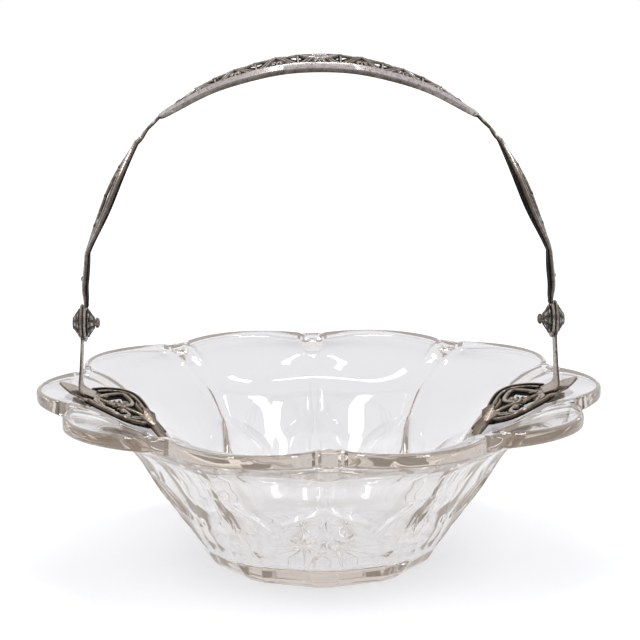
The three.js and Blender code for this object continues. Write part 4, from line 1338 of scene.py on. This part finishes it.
@dataclass
class HandleArm(PivotSizes):
    """One cast arm: eye, pierced tongue, three bars, crossing link and neck."""

    form: HandleForm
    side: Side
    band: float = 0.0015
    rail_span: float = 0.003
    half_width: float = 0.0093
    rail_width: float = 0.0026
    tongue_half_width: float = 0.0052
    tongue_band: float = 0.0018
    tongue_start: float = 0.0081
    link_half_width: float = 0.0034
    link_width: float = 0.0022
    link_spread: float = 0.25
    bow_power: float = 0.6
    extra_camber: float = 7.5
    eye_edge: float = 0.0004
    curl_radius: float = 0.0016
    curl_width: float = 0.0009
    curl_inset: float = 0.0015
    leaf_length: float = 0.0085
    leaf_width: float = 0.0044
    tongue_leaf_width: float = 0.0030
    bead_radius: float = 0.0012
    collar_half: float = 0.0026
    collar_width: float = 0.0019
    fine: float = 0.0002

    def bow(self, start: float, end: float, half: float, count: int) -> list[Point]:
        """A pointed-oval bow between two places along the arm, on one side."""
        return [
            (lerp(start, end, share), half * math.sin(math.pi * share) ** self.bow_power)
            for share in steps(count)
        ]

    def build(self, finish: Material) -> None:
        """Models the arm and puts it in the place of its CAD node."""
        form, length = self.form, self.form.arch.length

        def place(along: float, across: float, lift: float) -> Vector:
            """A point of the band on this arm's side."""
            point = form.on_band(along, across, lift - self.extra_camber * across * across)
            return Vector((self.side.value * point.x, point.y, point.z))

        arm = Casting(place)
        tongue_end = form.tongue_end * length
        arm_end, neck = form.arm_end * length, form.neck * length - self.gap / 2
        lap = self.rail_span / 2
        for mirror in (1, -1):
            tongue_half = mirror * (self.tongue_half_width - self.rail_width / 2)
            tongue = self.bow(self.tongue_start, tongue_end + lap, tongue_half, 36)
            arm.bar(tongue, self.rail_width, self.tongue_band, Section.ROUND)
            outer_half = mirror * (self.half_width - self.rail_width / 2)
            rail = self.bow(tongue_end - lap, arm_end + lap, outer_half, 60)
            arm.bar(rail, self.rail_width, form.rail_height, Section.LEAF, self.fine)
            link = []
            for share in steps(40):
                swing = self.link_half_width * math.sin(2 * math.pi * share) * (1 - share / 2)
                spread = share * self.link_width * self.link_spread
                link.append((lerp(arm_end - lap, neck, share), mirror * (swing + spread)))
            arm.bar(link, self.link_width, self.band, Section.LEAF, self.fine * (1.5 + mirror / 2))
            for share, hand in ((0.3, 1), (0.7, -1)):
                spot = lerp(tongue_end, arm_end, share)
                edge = self.half_width - self.rail_width - self.curl_inset
                arm.volute(
                    (spot, mirror * edge), self.curl_radius, 90 * mirror, hand * mirror, self.curl_width,
                    self.band, 1.0, self.fine,
                )
        arm.bar(straight(tongue_end, arm_end, 30), self.rail_width, self.band, Section.LEAF, 2 * self.fine)
        for share in (0.24, 0.5, 0.76):
            spot = lerp(tongue_end, arm_end, share)
            for hand in (1, -1):
                leaf = straight(spot, spot + hand * self.leaf_length, 14)
                arm.bar(leaf, leaf_width(self.leaf_width, 0.5), self.band, Section.LEAF, self.fine)
            arm.dome(spot, 0, self.band * 0.8, self.bead_radius, 0.0005)
        blade = straight(self.tongue_start, tongue_end, 16)
        blade_width = leaf_width(self.tongue_leaf_width, 0.5)
        arm.bar(blade, blade_width, self.tongue_band * 0.8, Section.LEAF, self.fine)
        root = straight(self.rosette_radius + 2 * self.gap, self.tongue_start + lap, 8)
        arm.bar(root, self.tongue_half_width, self.tongue_band, Section.ROUND, self.fine)
        arm.dome((tongue_end + self.tongue_start) / 2, 0, self.tongue_band * 0.7, self.bead_radius, 0.0009)
        for collar in (tongue_end, arm_end):
            path = crosswise(collar, self.collar_half, 10)
            arm.bar(path, self.collar_width, form.rail_height * 1.08, Section.ROUND)
        inner_face = self.half_span - self.handle_eye
        self.add_eye(arm, self.side, inner_face, self.handle_eye, self.eye_edge)
        arm.deliver(f"{self.side.word}_cast_arm", f"{self.side.word}_handle_arm", finish, "handle")


def dress(piece: bpy.types.Object, finish: Material, body: str, slot: str, nodes: Iterable[str]) -> None:
    """Gives a new piece its material, its body and the CAD nodes that it stands for.

    Args:
        piece: The new piece.
        finish: Its material.
        body: CAD body that it rides on.
        slot: The record's material slot; not used.
        nodes: CAD nodes that it replaces.
    """
    piece.data.materials.clear()
    piece.data.materials.append(finish)
    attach(piece, body)
    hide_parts(*nodes)
    LOG.info("%s: %d faces, finish %s", piece.name, len(piece.data.polygons), finish.name)


class NodeTree:
    """A thin hand for wiring shader nodes."""

    def __init__(self, tree: Group) -> None:
        """Keeps the tree that nodes are added to."""
        self.tree = tree

    def add(self, kind: str, *inputs: object, **settings: object) -> bpy.types.Node:
        """Adds a node, sets its properties and wires its inputs.

        Args:
            kind: Node type without its ShaderNode prefix.
            *inputs: Values or sockets of its enabled inputs, in order; None leaves one as it is.
            **settings: Properties of the node by name, or inputs by name with _ for a space.

        Returns:
            The node.
        """
        node = self.tree.nodes.new(f"ShaderNode{kind}")
        for name, value in settings.items():
            if name in node.bl_rna.properties:
                setattr(node, name, value)
        enabled = [socket for socket in node.inputs if socket.enabled]
        for socket, value in zip(enabled, inputs):
            self.wire(value, socket)
        for name, value in settings.items():
            if name not in node.bl_rna.properties:
                self.wire(value, node.inputs[name.replace("_", " ")])
        return node

    def wire(self, value: object, socket: Socket) -> None:
        """Links a socket to another, or sets its value; None leaves it as it is."""
        if isinstance(value, Socket):
            self.tree.links.new(value, socket)
        elif value is not None:
            socket.default_value = value

    def out(self, node: bpy.types.Node) -> Socket:
        """The first enabled output of a node."""
        return next(socket for socket in node.outputs if socket.enabled)

    def math(self, operation: str, first: object, second: object = None) -> Socket:
        """Result of a math node."""
        return self.out(self.add("Math", first, second, operation=operation))

    def blend(self, share: object, first: object, second: object) -> Socket:
        """Colour between two colours."""
        return self.out(self.add("Mix", share, first, second, data_type="RGBA"))

    def span(self, value: object, low: float, high: float, start: float = 0, end: float = 1) -> Socket:
        """Smooth map of a value from one range to another."""
        node = self.add("MapRange", value, low, high, start, end, interpolation_type="SMOOTHSTEP")
        return self.out(node)

    def through_glass(self, path: bpy.types.bpy_prop_collection) -> Socket:
        """1 for mirrored and refracted rays, from the outputs of a Light Path node."""
        return self.math("MAXIMUM", path["Is Glossy Ray"], path["Is Transmission Ray"])

    def scaled(self, value: object, factor: object, shift: object = None) -> Socket:
        """A value times a factor, added to a shift if one is given."""
        product = self.math("MULTIPLY", value, factor)
        return product if shift is None else self.math("ADD", shift, product)

    def noise(self, vector: object, scale: float, detail: float = 3, roughness: float = 0.5) -> Socket:
        """Value of a noise texture."""
        node = self.add("TexNoise", Vector=vector, Scale=scale, Detail=detail, Roughness=roughness)
        return node.outputs["Fac"]


class Surface(NodeTree):
    """A new material, with the shader, the coordinates and the steps that the finishes share."""

    def __init__(self, name: str) -> None:
        """Starts the material."""
        self.material = bpy.data.materials.new(name)
        self.material.use_nodes = True
        super().__init__(self.material.node_tree)
        self.shader = self.tree.nodes["Principled BSDF"]
        self.coordinates = self.add("TexCoord").outputs["Object"]

    def set(self, **inputs: object) -> None:
        """Wires or sets inputs of the shader by name, with _ for a space."""
        for name, value in inputs.items():
            self.wire(value, self.shader.inputs[name.replace("_", " ")])

    def dirt(self, grime: Group, scale: float, amount: float) -> Socket:
        """Mask of the shared dirt group over the object's coordinates."""
        node = self.add("Group", node_tree=grime, Vector=self.coordinates, Scale=scale, Amount=amount)
        return node.outputs["Mask"]

    def bump(self, height: object, strength: float, distance: float) -> Socket:
        """Normal with the bumps of a height."""
        return self.add("Bump", Strength=strength, Distance=distance, Height=height).outputs["Normal"]


def rgba(color: Color) -> tuple[float, float, float, float]:
    """A colour with full alpha."""
    return (*color, 1.0)


def new_group(
    name: str, inputs: dict[str, str], outputs: dict[str, str],
) -> tuple[NodeTree, bpy.types.Node, bpy.types.Node]:
    """Starts a shader node group.

    Args:
        name: Its name.
        inputs: Socket types by input name.
        outputs: Socket types by output name.

    Returns:
        The group's tree, its input node and its output node.
    """
    group = bpy.data.node_groups.new(name, "ShaderNodeTree")
    for direction, sockets in (("INPUT", inputs), ("OUTPUT", outputs)):
        for socket, kind in sockets.items():
            group.interface.new_socket(socket, in_out=direction, socket_type=f"NodeSocket{kind}")
    return NodeTree(group), group.nodes.new("NodeGroupInput"), group.nodes.new("NodeGroupOutput")


def patina_and_painted_light_group() -> Group:
    """Shared effect: metal bright on its relief (polish and a painted highlight), warm between, dark in its
    recesses (patina and painted shade), with cast grain.
    """
    nodes, given, result = new_group(
        "patina_and_painted_light",
        {"Vector": "Vector", "Relief": "Float", "Bright": "Color", "Warm": "Color", "Dark": "Color"},
        {"Color": "Color", "Roughness": "Float", "Height": "Float"},
    )
    vector = given.outputs["Vector"]
    patches = nodes.noise(vector, 70, 3, 0.55)
    spots = nodes.noise(vector, 420, 4, 0.6)
    grain = nodes.noise(vector, 2600, 3, 0.6)
    wander = nodes.scaled(nodes.math("SUBTRACT", spots, 0.5), 0.35)
    drift = nodes.scaled(nodes.math("SUBTRACT", patches, 0.5), 0.4)
    level = nodes.math("ADD", nodes.math("ADD", given.outputs["Relief"], wander), drift)
    # High relief turns bright: polish and a painted highlight. Low relief turns dark: patina and painted
    # shade.
    polish_and_highlight = nodes.span(level, 0.68, 1.02)
    shade = nodes.span(level, 0.12, 0.5, 1, 0)
    color = nodes.blend(polish_and_highlight, given.outputs["Warm"], given.outputs["Bright"])
    color = nodes.blend(shade, color, given.outputs["Dark"])
    nodes.wire(color, result.inputs["Color"])
    rough = nodes.math("ADD", nodes.scaled(grain, 0.08), nodes.span(polish_and_highlight, 0, 1, 0.30, 0.20))
    nodes.wire(nodes.scaled(shade, 0.18, rough), result.inputs["Roughness"])
    nodes.wire(nodes.scaled(grain, 0.3, nodes.scaled(spots, 0.7)), result.inputs["Height"])
    return nodes.tree


def grime_group() -> Group:
    """Shared effect: fine dirt that gathers in spots over a surface."""
    nodes, given, result = new_group(
        "grime", {"Vector": "Vector", "Scale": "Float", "Amount": "Float"}, {"Mask": "Float"},
    )
    noise = nodes.add("TexNoise", Vector=given.outputs["Vector"], Scale=given.outputs["Scale"], Detail=5.0)
    mask = nodes.scaled(nodes.span(noise.outputs["Fac"], 0.5, 0.72), given.outputs["Amount"])
    nodes.wire(mask, result.inputs["Mask"])
    return nodes.tree


class ReliefSource(Enum):
    """Where a metal finish reads how high a point stands in its relief."""

    CASTING = "casting"
    EVEN = "even"


@dataclass(frozen=True)
class MetalFinish:
    """Aged metal with dark recesses and worn, brighter relief: the dark is patina and painted shade, the
    brighter relief polish and a painted highlight.
    """

    name: str
    bright: Color
    warm: Color
    dark: Color
    source: ReliefSource = ReliefSource.CASTING
    even_relief: float = 0.75
    bump: float = 0.14

    def build(self, patina_and_painted_light: Group, grime: Group) -> Material:
        """The material.

        Args:
            patina_and_painted_light: The shared group of tarnish, polish, painted shade and painted
                highlights.
            grime: The shared dirt group.

        Returns:
            The material.
        """
        surface = Surface(self.name)
        relief = self.even_relief
        if self.source is ReliefSource.CASTING:
            relief = surface.add("Attribute", attribute_name="relief").outputs["Fac"]
        effect = surface.add(
            "Group", node_tree=patina_and_painted_light, Vector=surface.coordinates, Relief=relief, Bright=rgba(self.bright),
            Warm=rgba(self.warm), Dark=rgba(self.dark),
        ).outputs
        mask = surface.dirt(grime, 900.0, 0.6)
        surface.set(
            Base_Color=surface.blend(mask, effect["Color"], rgba(self.dark)),
            Roughness=surface.scaled(mask, 0.25, effect["Roughness"]),
            Normal=surface.bump(effect["Height"], self.bump, 0.00015),
            Metallic=1,
        )
        return surface.material


@dataclass(frozen=True)
class HideFinish:
    """Plain brown hide of the soft washers."""

    name: str = "hide"
    light: Color = (0.23, 0.14, 0.085)
    dark: Color = (0.09, 0.055, 0.035)

    def build(self, grime: Group) -> Material:
        """The material.

        Args:
            grime: The shared dirt group.

        Returns:
            The material.
        """
        surface = Surface(self.name)
        pores = surface.add("TexVoronoi", Vector=surface.coordinates, Scale=2200.0).outputs["Distance"]
        tone = surface.blend(surface.noise(surface.coordinates, 500), rgba(self.light), rgba(self.dark))
        surface.set(
            Base_Color=surface.blend(surface.dirt(grime, 700.0, 0.5), tone, rgba(self.dark)),
            Roughness=surface.span(pores, 0, 0.6, 0.9, 0.65),
            Normal=surface.bump(pores, 0.5, 0.0002),
        )
        return surface.material


@dataclass(frozen=True)
class CrystalFinish:
    """Clear polished lead crystal, a little worn where it stands.

    Cycles ends light that is trapped in the glass after four mirror bounces, which would leave its
    edges black. From there on the glass gives off a faint light of its own (the trapped values).
    """

    name: str = "crystal"
    tint: Color = (0.975, 0.97, 0.972)
    index: float = 1.53
    worn_roughness: float = 0.25
    murk: Color = (0.86, 0.82, 0.77)
    density: float = 22.0
    trapped: Color = (0.80, 0.75, 0.72)
    trapped_strength: float = 0.27
    trapped_depth: float = 3.5

    def build(self, grime: Group) -> Material:
        """The material.

        Args:
            grime: The shared dirt group.

        Returns:
            The material.
        """
        surface = Surface(self.name)
        height = surface.add("SeparateXYZ", surface.coordinates).outputs["Z"]
        worn = surface.span(height, 0.0001, 0.0009, self.worn_roughness, 0)
        depth = surface.add("LightPath").outputs["Glossy Depth"]
        surface.set(
            Base_Color=rgba(self.tint),
            IOR=self.index,
            Transmission_Weight=1,
            Roughness=surface.math("ADD", worn, surface.dirt(grime, 160.0, 0.05)),
            Normal=surface.bump(surface.noise(surface.coordinates, 38, 2), 0.05, 0.0008),
            Emission_Color=rgba(self.trapped),
            Emission_Strength=surface.scaled(
                surface.math("GREATER_THAN", depth, self.trapped_depth), self.trapped_strength,
            ),
        )
        murk = surface.add("VolumeAbsorption", Color=rgba(self.murk), Density=self.density)
        surface.wire(murk.outputs["Volume"], surface.tree.nodes["Material Output"].inputs["Volume"])
        return surface.material


@dataclass
class Studio:
    """Plain pale floor, soft light and the photograph's camera."""

    distance: float = 0.7768
    elevation_degrees: float = 11.18
    turn_degrees: float = 1.935
    roll_degrees: float = -0.144
    target_x: float = 0.0002
    target_z: float = 0.1026
    lens: float = 103.26
    backdrop: Color = (0.865, 0.85, 0.865)
    ceiling: Color = (0.87, 0.86, 0.87)
    dim: Color = (0.40, 0.39, 0.40)
    fill: Color = (0.72, 0.72, 0.73)
    dim_from: float = -0.3
    dim_to: float = -0.85
    floor_tones: tuple[Color, Color] = ((0.78, 0.79, 0.82), (0.81, 0.82, 0.84))
    aim_height: float = 0.08
    window_place: tuple[float, float, float] = (0.75, -0.85, 1.15)
    window_size: Point = (0.16, 0.6)
    window_watts: float = 3.5
    overhead_place: tuple[float, float, float] = (0.0, 0.35, 1.5)
    overhead_size: Point = (0.6, 0.12)
    overhead_watts: float = 2.4

    def camera(self) -> None:
        """The camera at the photograph's place."""
        data = bpy.data.cameras.new("camera")
        data.lens = self.lens
        data.sensor_width = 36
        data.clip_end = 50
        camera = placed("camera", data)
        elevation = math.radians(self.elevation_degrees)
        turn = Matrix.Rotation(-math.radians(self.turn_degrees), 3, "Z")
        target = turn @ Vector((self.target_x, 0, self.target_z))
        offset = turn @ Vector((0, -self.distance * math.cos(elevation), self.distance * math.sin(elevation)))
        look = (-offset).to_track_quat("-Z", "Y").to_matrix()
        roll = Matrix.Rotation(math.radians(self.roll_degrees), 3, "Z")
        camera.matrix_world = Matrix.LocRotScale(target + offset, (look @ roll).to_quaternion(), None)
        bpy.context.scene.camera = camera

    def floor(self) -> None:
        """A wide pale floor that stays white for the camera and keeps the shadow; in mirrors and through the
        glass it is lit up close under the bowl by a painted pool of light.
        """
        bm = bmesh.new()
        bmesh.ops.create_circle(bm, cap_ends=True, segments=64, radius=6)
        floor = finished_piece("floor", bm)
        surface = Surface("pale_floor")
        path = surface.add("LightPath").outputs
        distance = surface.add("VectorMath", surface.coordinates, operation="LENGTH").outputs["Value"]
        seen = surface.scaled(path["Is Camera Ray"], surface.span(distance, 0.15, 0.9, 0.34, 0.62))
        # Painted light: in mirrors and through the glass the floor glows brighter close under the bowl.
        painted_glow_under_bowl = surface.scaled(surface.through_glass(path), surface.span(distance, 0.08, 0.24, 0.31, 0.08))
        first, second = (rgba(tone) for tone in self.floor_tones)
        surface.set(
            Base_Color=surface.blend(surface.noise(surface.coordinates, 3), first, second),
            Roughness=0.9,
            Specular_IOR_Level=0.1,
            Emission_Color=rgba((1, 1, 1)),
            Emission_Strength=surface.math("MAXIMUM", seen, painted_glow_under_bowl),
        )
        floor.data.materials.append(surface.material)

    def world(self) -> None:
        """White for the camera; for glass and metal the pale backdrop, softer overhead, dim by the camera."""
        world = bpy.data.worlds.new("studio")
        bpy.context.scene.world = world
        world.use_nodes = True
        nodes = NodeTree(world.node_tree)
        background = world.node_tree.nodes["Background"]
        way = nodes.add("SeparateXYZ", nodes.add("TexCoord").outputs["Generated"]).outputs
        overhead = nodes.span(way["Z"], 0.35, 0.8)
        path = nodes.add("LightPath").outputs
        reflected = nodes.math("SUBTRACT", path["Is Glossy Ray"], path["Is Transmission Ray"])
        dim = nodes.math("MULTIPLY", nodes.span(way["Y"], self.dim_from, self.dim_to), reflected)
        tone = nodes.blend(overhead, rgba(self.backdrop), rgba(self.ceiling))
        tone = nodes.blend(dim, tone, rgba(self.dim))
        tone = nodes.blend(path["Is Camera Ray"], tone, rgba((1, 1, 1)))
        seen = nodes.math("MAXIMUM", nodes.through_glass(path), path["Is Camera Ray"])
        nodes.wire(nodes.blend(seen, rgba(self.fill), tone), background.inputs["Color"])

    def lamp(self, name: str, place: Vector, size: tuple[float, float], power: float) -> None:
        """One soft area lamp that faces the object.

        Args:
            name: Its name.
            place: Where it stands.
            size: Width and height.
            power: Watts.
        """
        data = bpy.data.lights.new(name, "AREA")
        data.shape = "RECTANGLE"
        data.size, data.size_y = size
        data.energy = power
        lamp = placed(name, data)
        aim = (Vector((0, 0, self.aim_height)) - place).to_track_quat("-Z", "Y")
        lamp.matrix_world = Matrix.LocRotScale(place, aim, None)

    def build(self) -> None:
        """Camera, floor, world and lamps."""
        self.camera()
        self.floor()
        self.world()
        for side in Side:
            aside, front, height = self.window_place
            place = Vector((aside * side.value, front, height))
            self.lamp(f"{side.word}_window", place, self.window_size, self.window_watts)
        self.lamp("overhead", Vector(self.overhead_place), self.overhead_size, self.overhead_watts)
        bpy.context.scene.view_settings.view_transform = "Standard"


# Each row: name, bright colour (polish and painted highlight), warm colour, dark colour (patina and painted
# shade), and where the relief is read if not from the casting.
METALS = (
    ("silver", (0.50, 0.43, 0.36), (0.12, 0.096, 0.07), (0.012, 0.010, 0.008)),
    ("worn_silver", (0.58, 0.53, 0.52), (0.17, 0.145, 0.11), (0.014, 0.012, 0.011)),
    ("dark_silver", (0.52, 0.49, 0.46), (0.12, 0.105, 0.09), (0.014, 0.012, 0.011)),
    ("plain_silver", (0.60, 0.58, 0.55), (0.34, 0.31, 0.27), (0.06, 0.05, 0.045), ReliefSource.EVEN),
    ("brass", (0.34, 0.28, 0.19), (0.17, 0.13, 0.08), (0.03, 0.024, 0.016)),
)


def main() -> None:
    """Builds the studio and every piece in order."""
    logging.basicConfig(level=logging.INFO, format="%(name)s: %(message)s")
    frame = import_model()
    Studio().build()
    patina_and_painted_light, grime = patina_and_painted_light_group(), grime_group()
    crystal = CrystalFinish().build(grime)
    silver, worn, dark, plain, brass = (MetalFinish(*look).build(patina_and_painted_light, grime) for look in METALS)
    hide = HideFinish().build(grime)
    form, handle = GlassForm(), HandleForm()
    pivots = [Pivot(form, side) for side in Side]
    CrystalBowl(form).build([pivot.stud_frame() for pivot in pivots], crystal)
    for pivot in pivots:
        Mount(form, pivot.side).medallion(silver)
        pivot.strap(silver)
        pivot.rosettes_and_knob(dark, silver)
        pivot.fastening(brass, hide)
        HandleArm(handle, pivot.side).build(worn)
        frame["nodes"][f"{pivot.side.word}_pivot_pin"].data.materials[0] = plain
    HandleSpan(handle).build(worn)


if __name__ == "__main__":
    main()
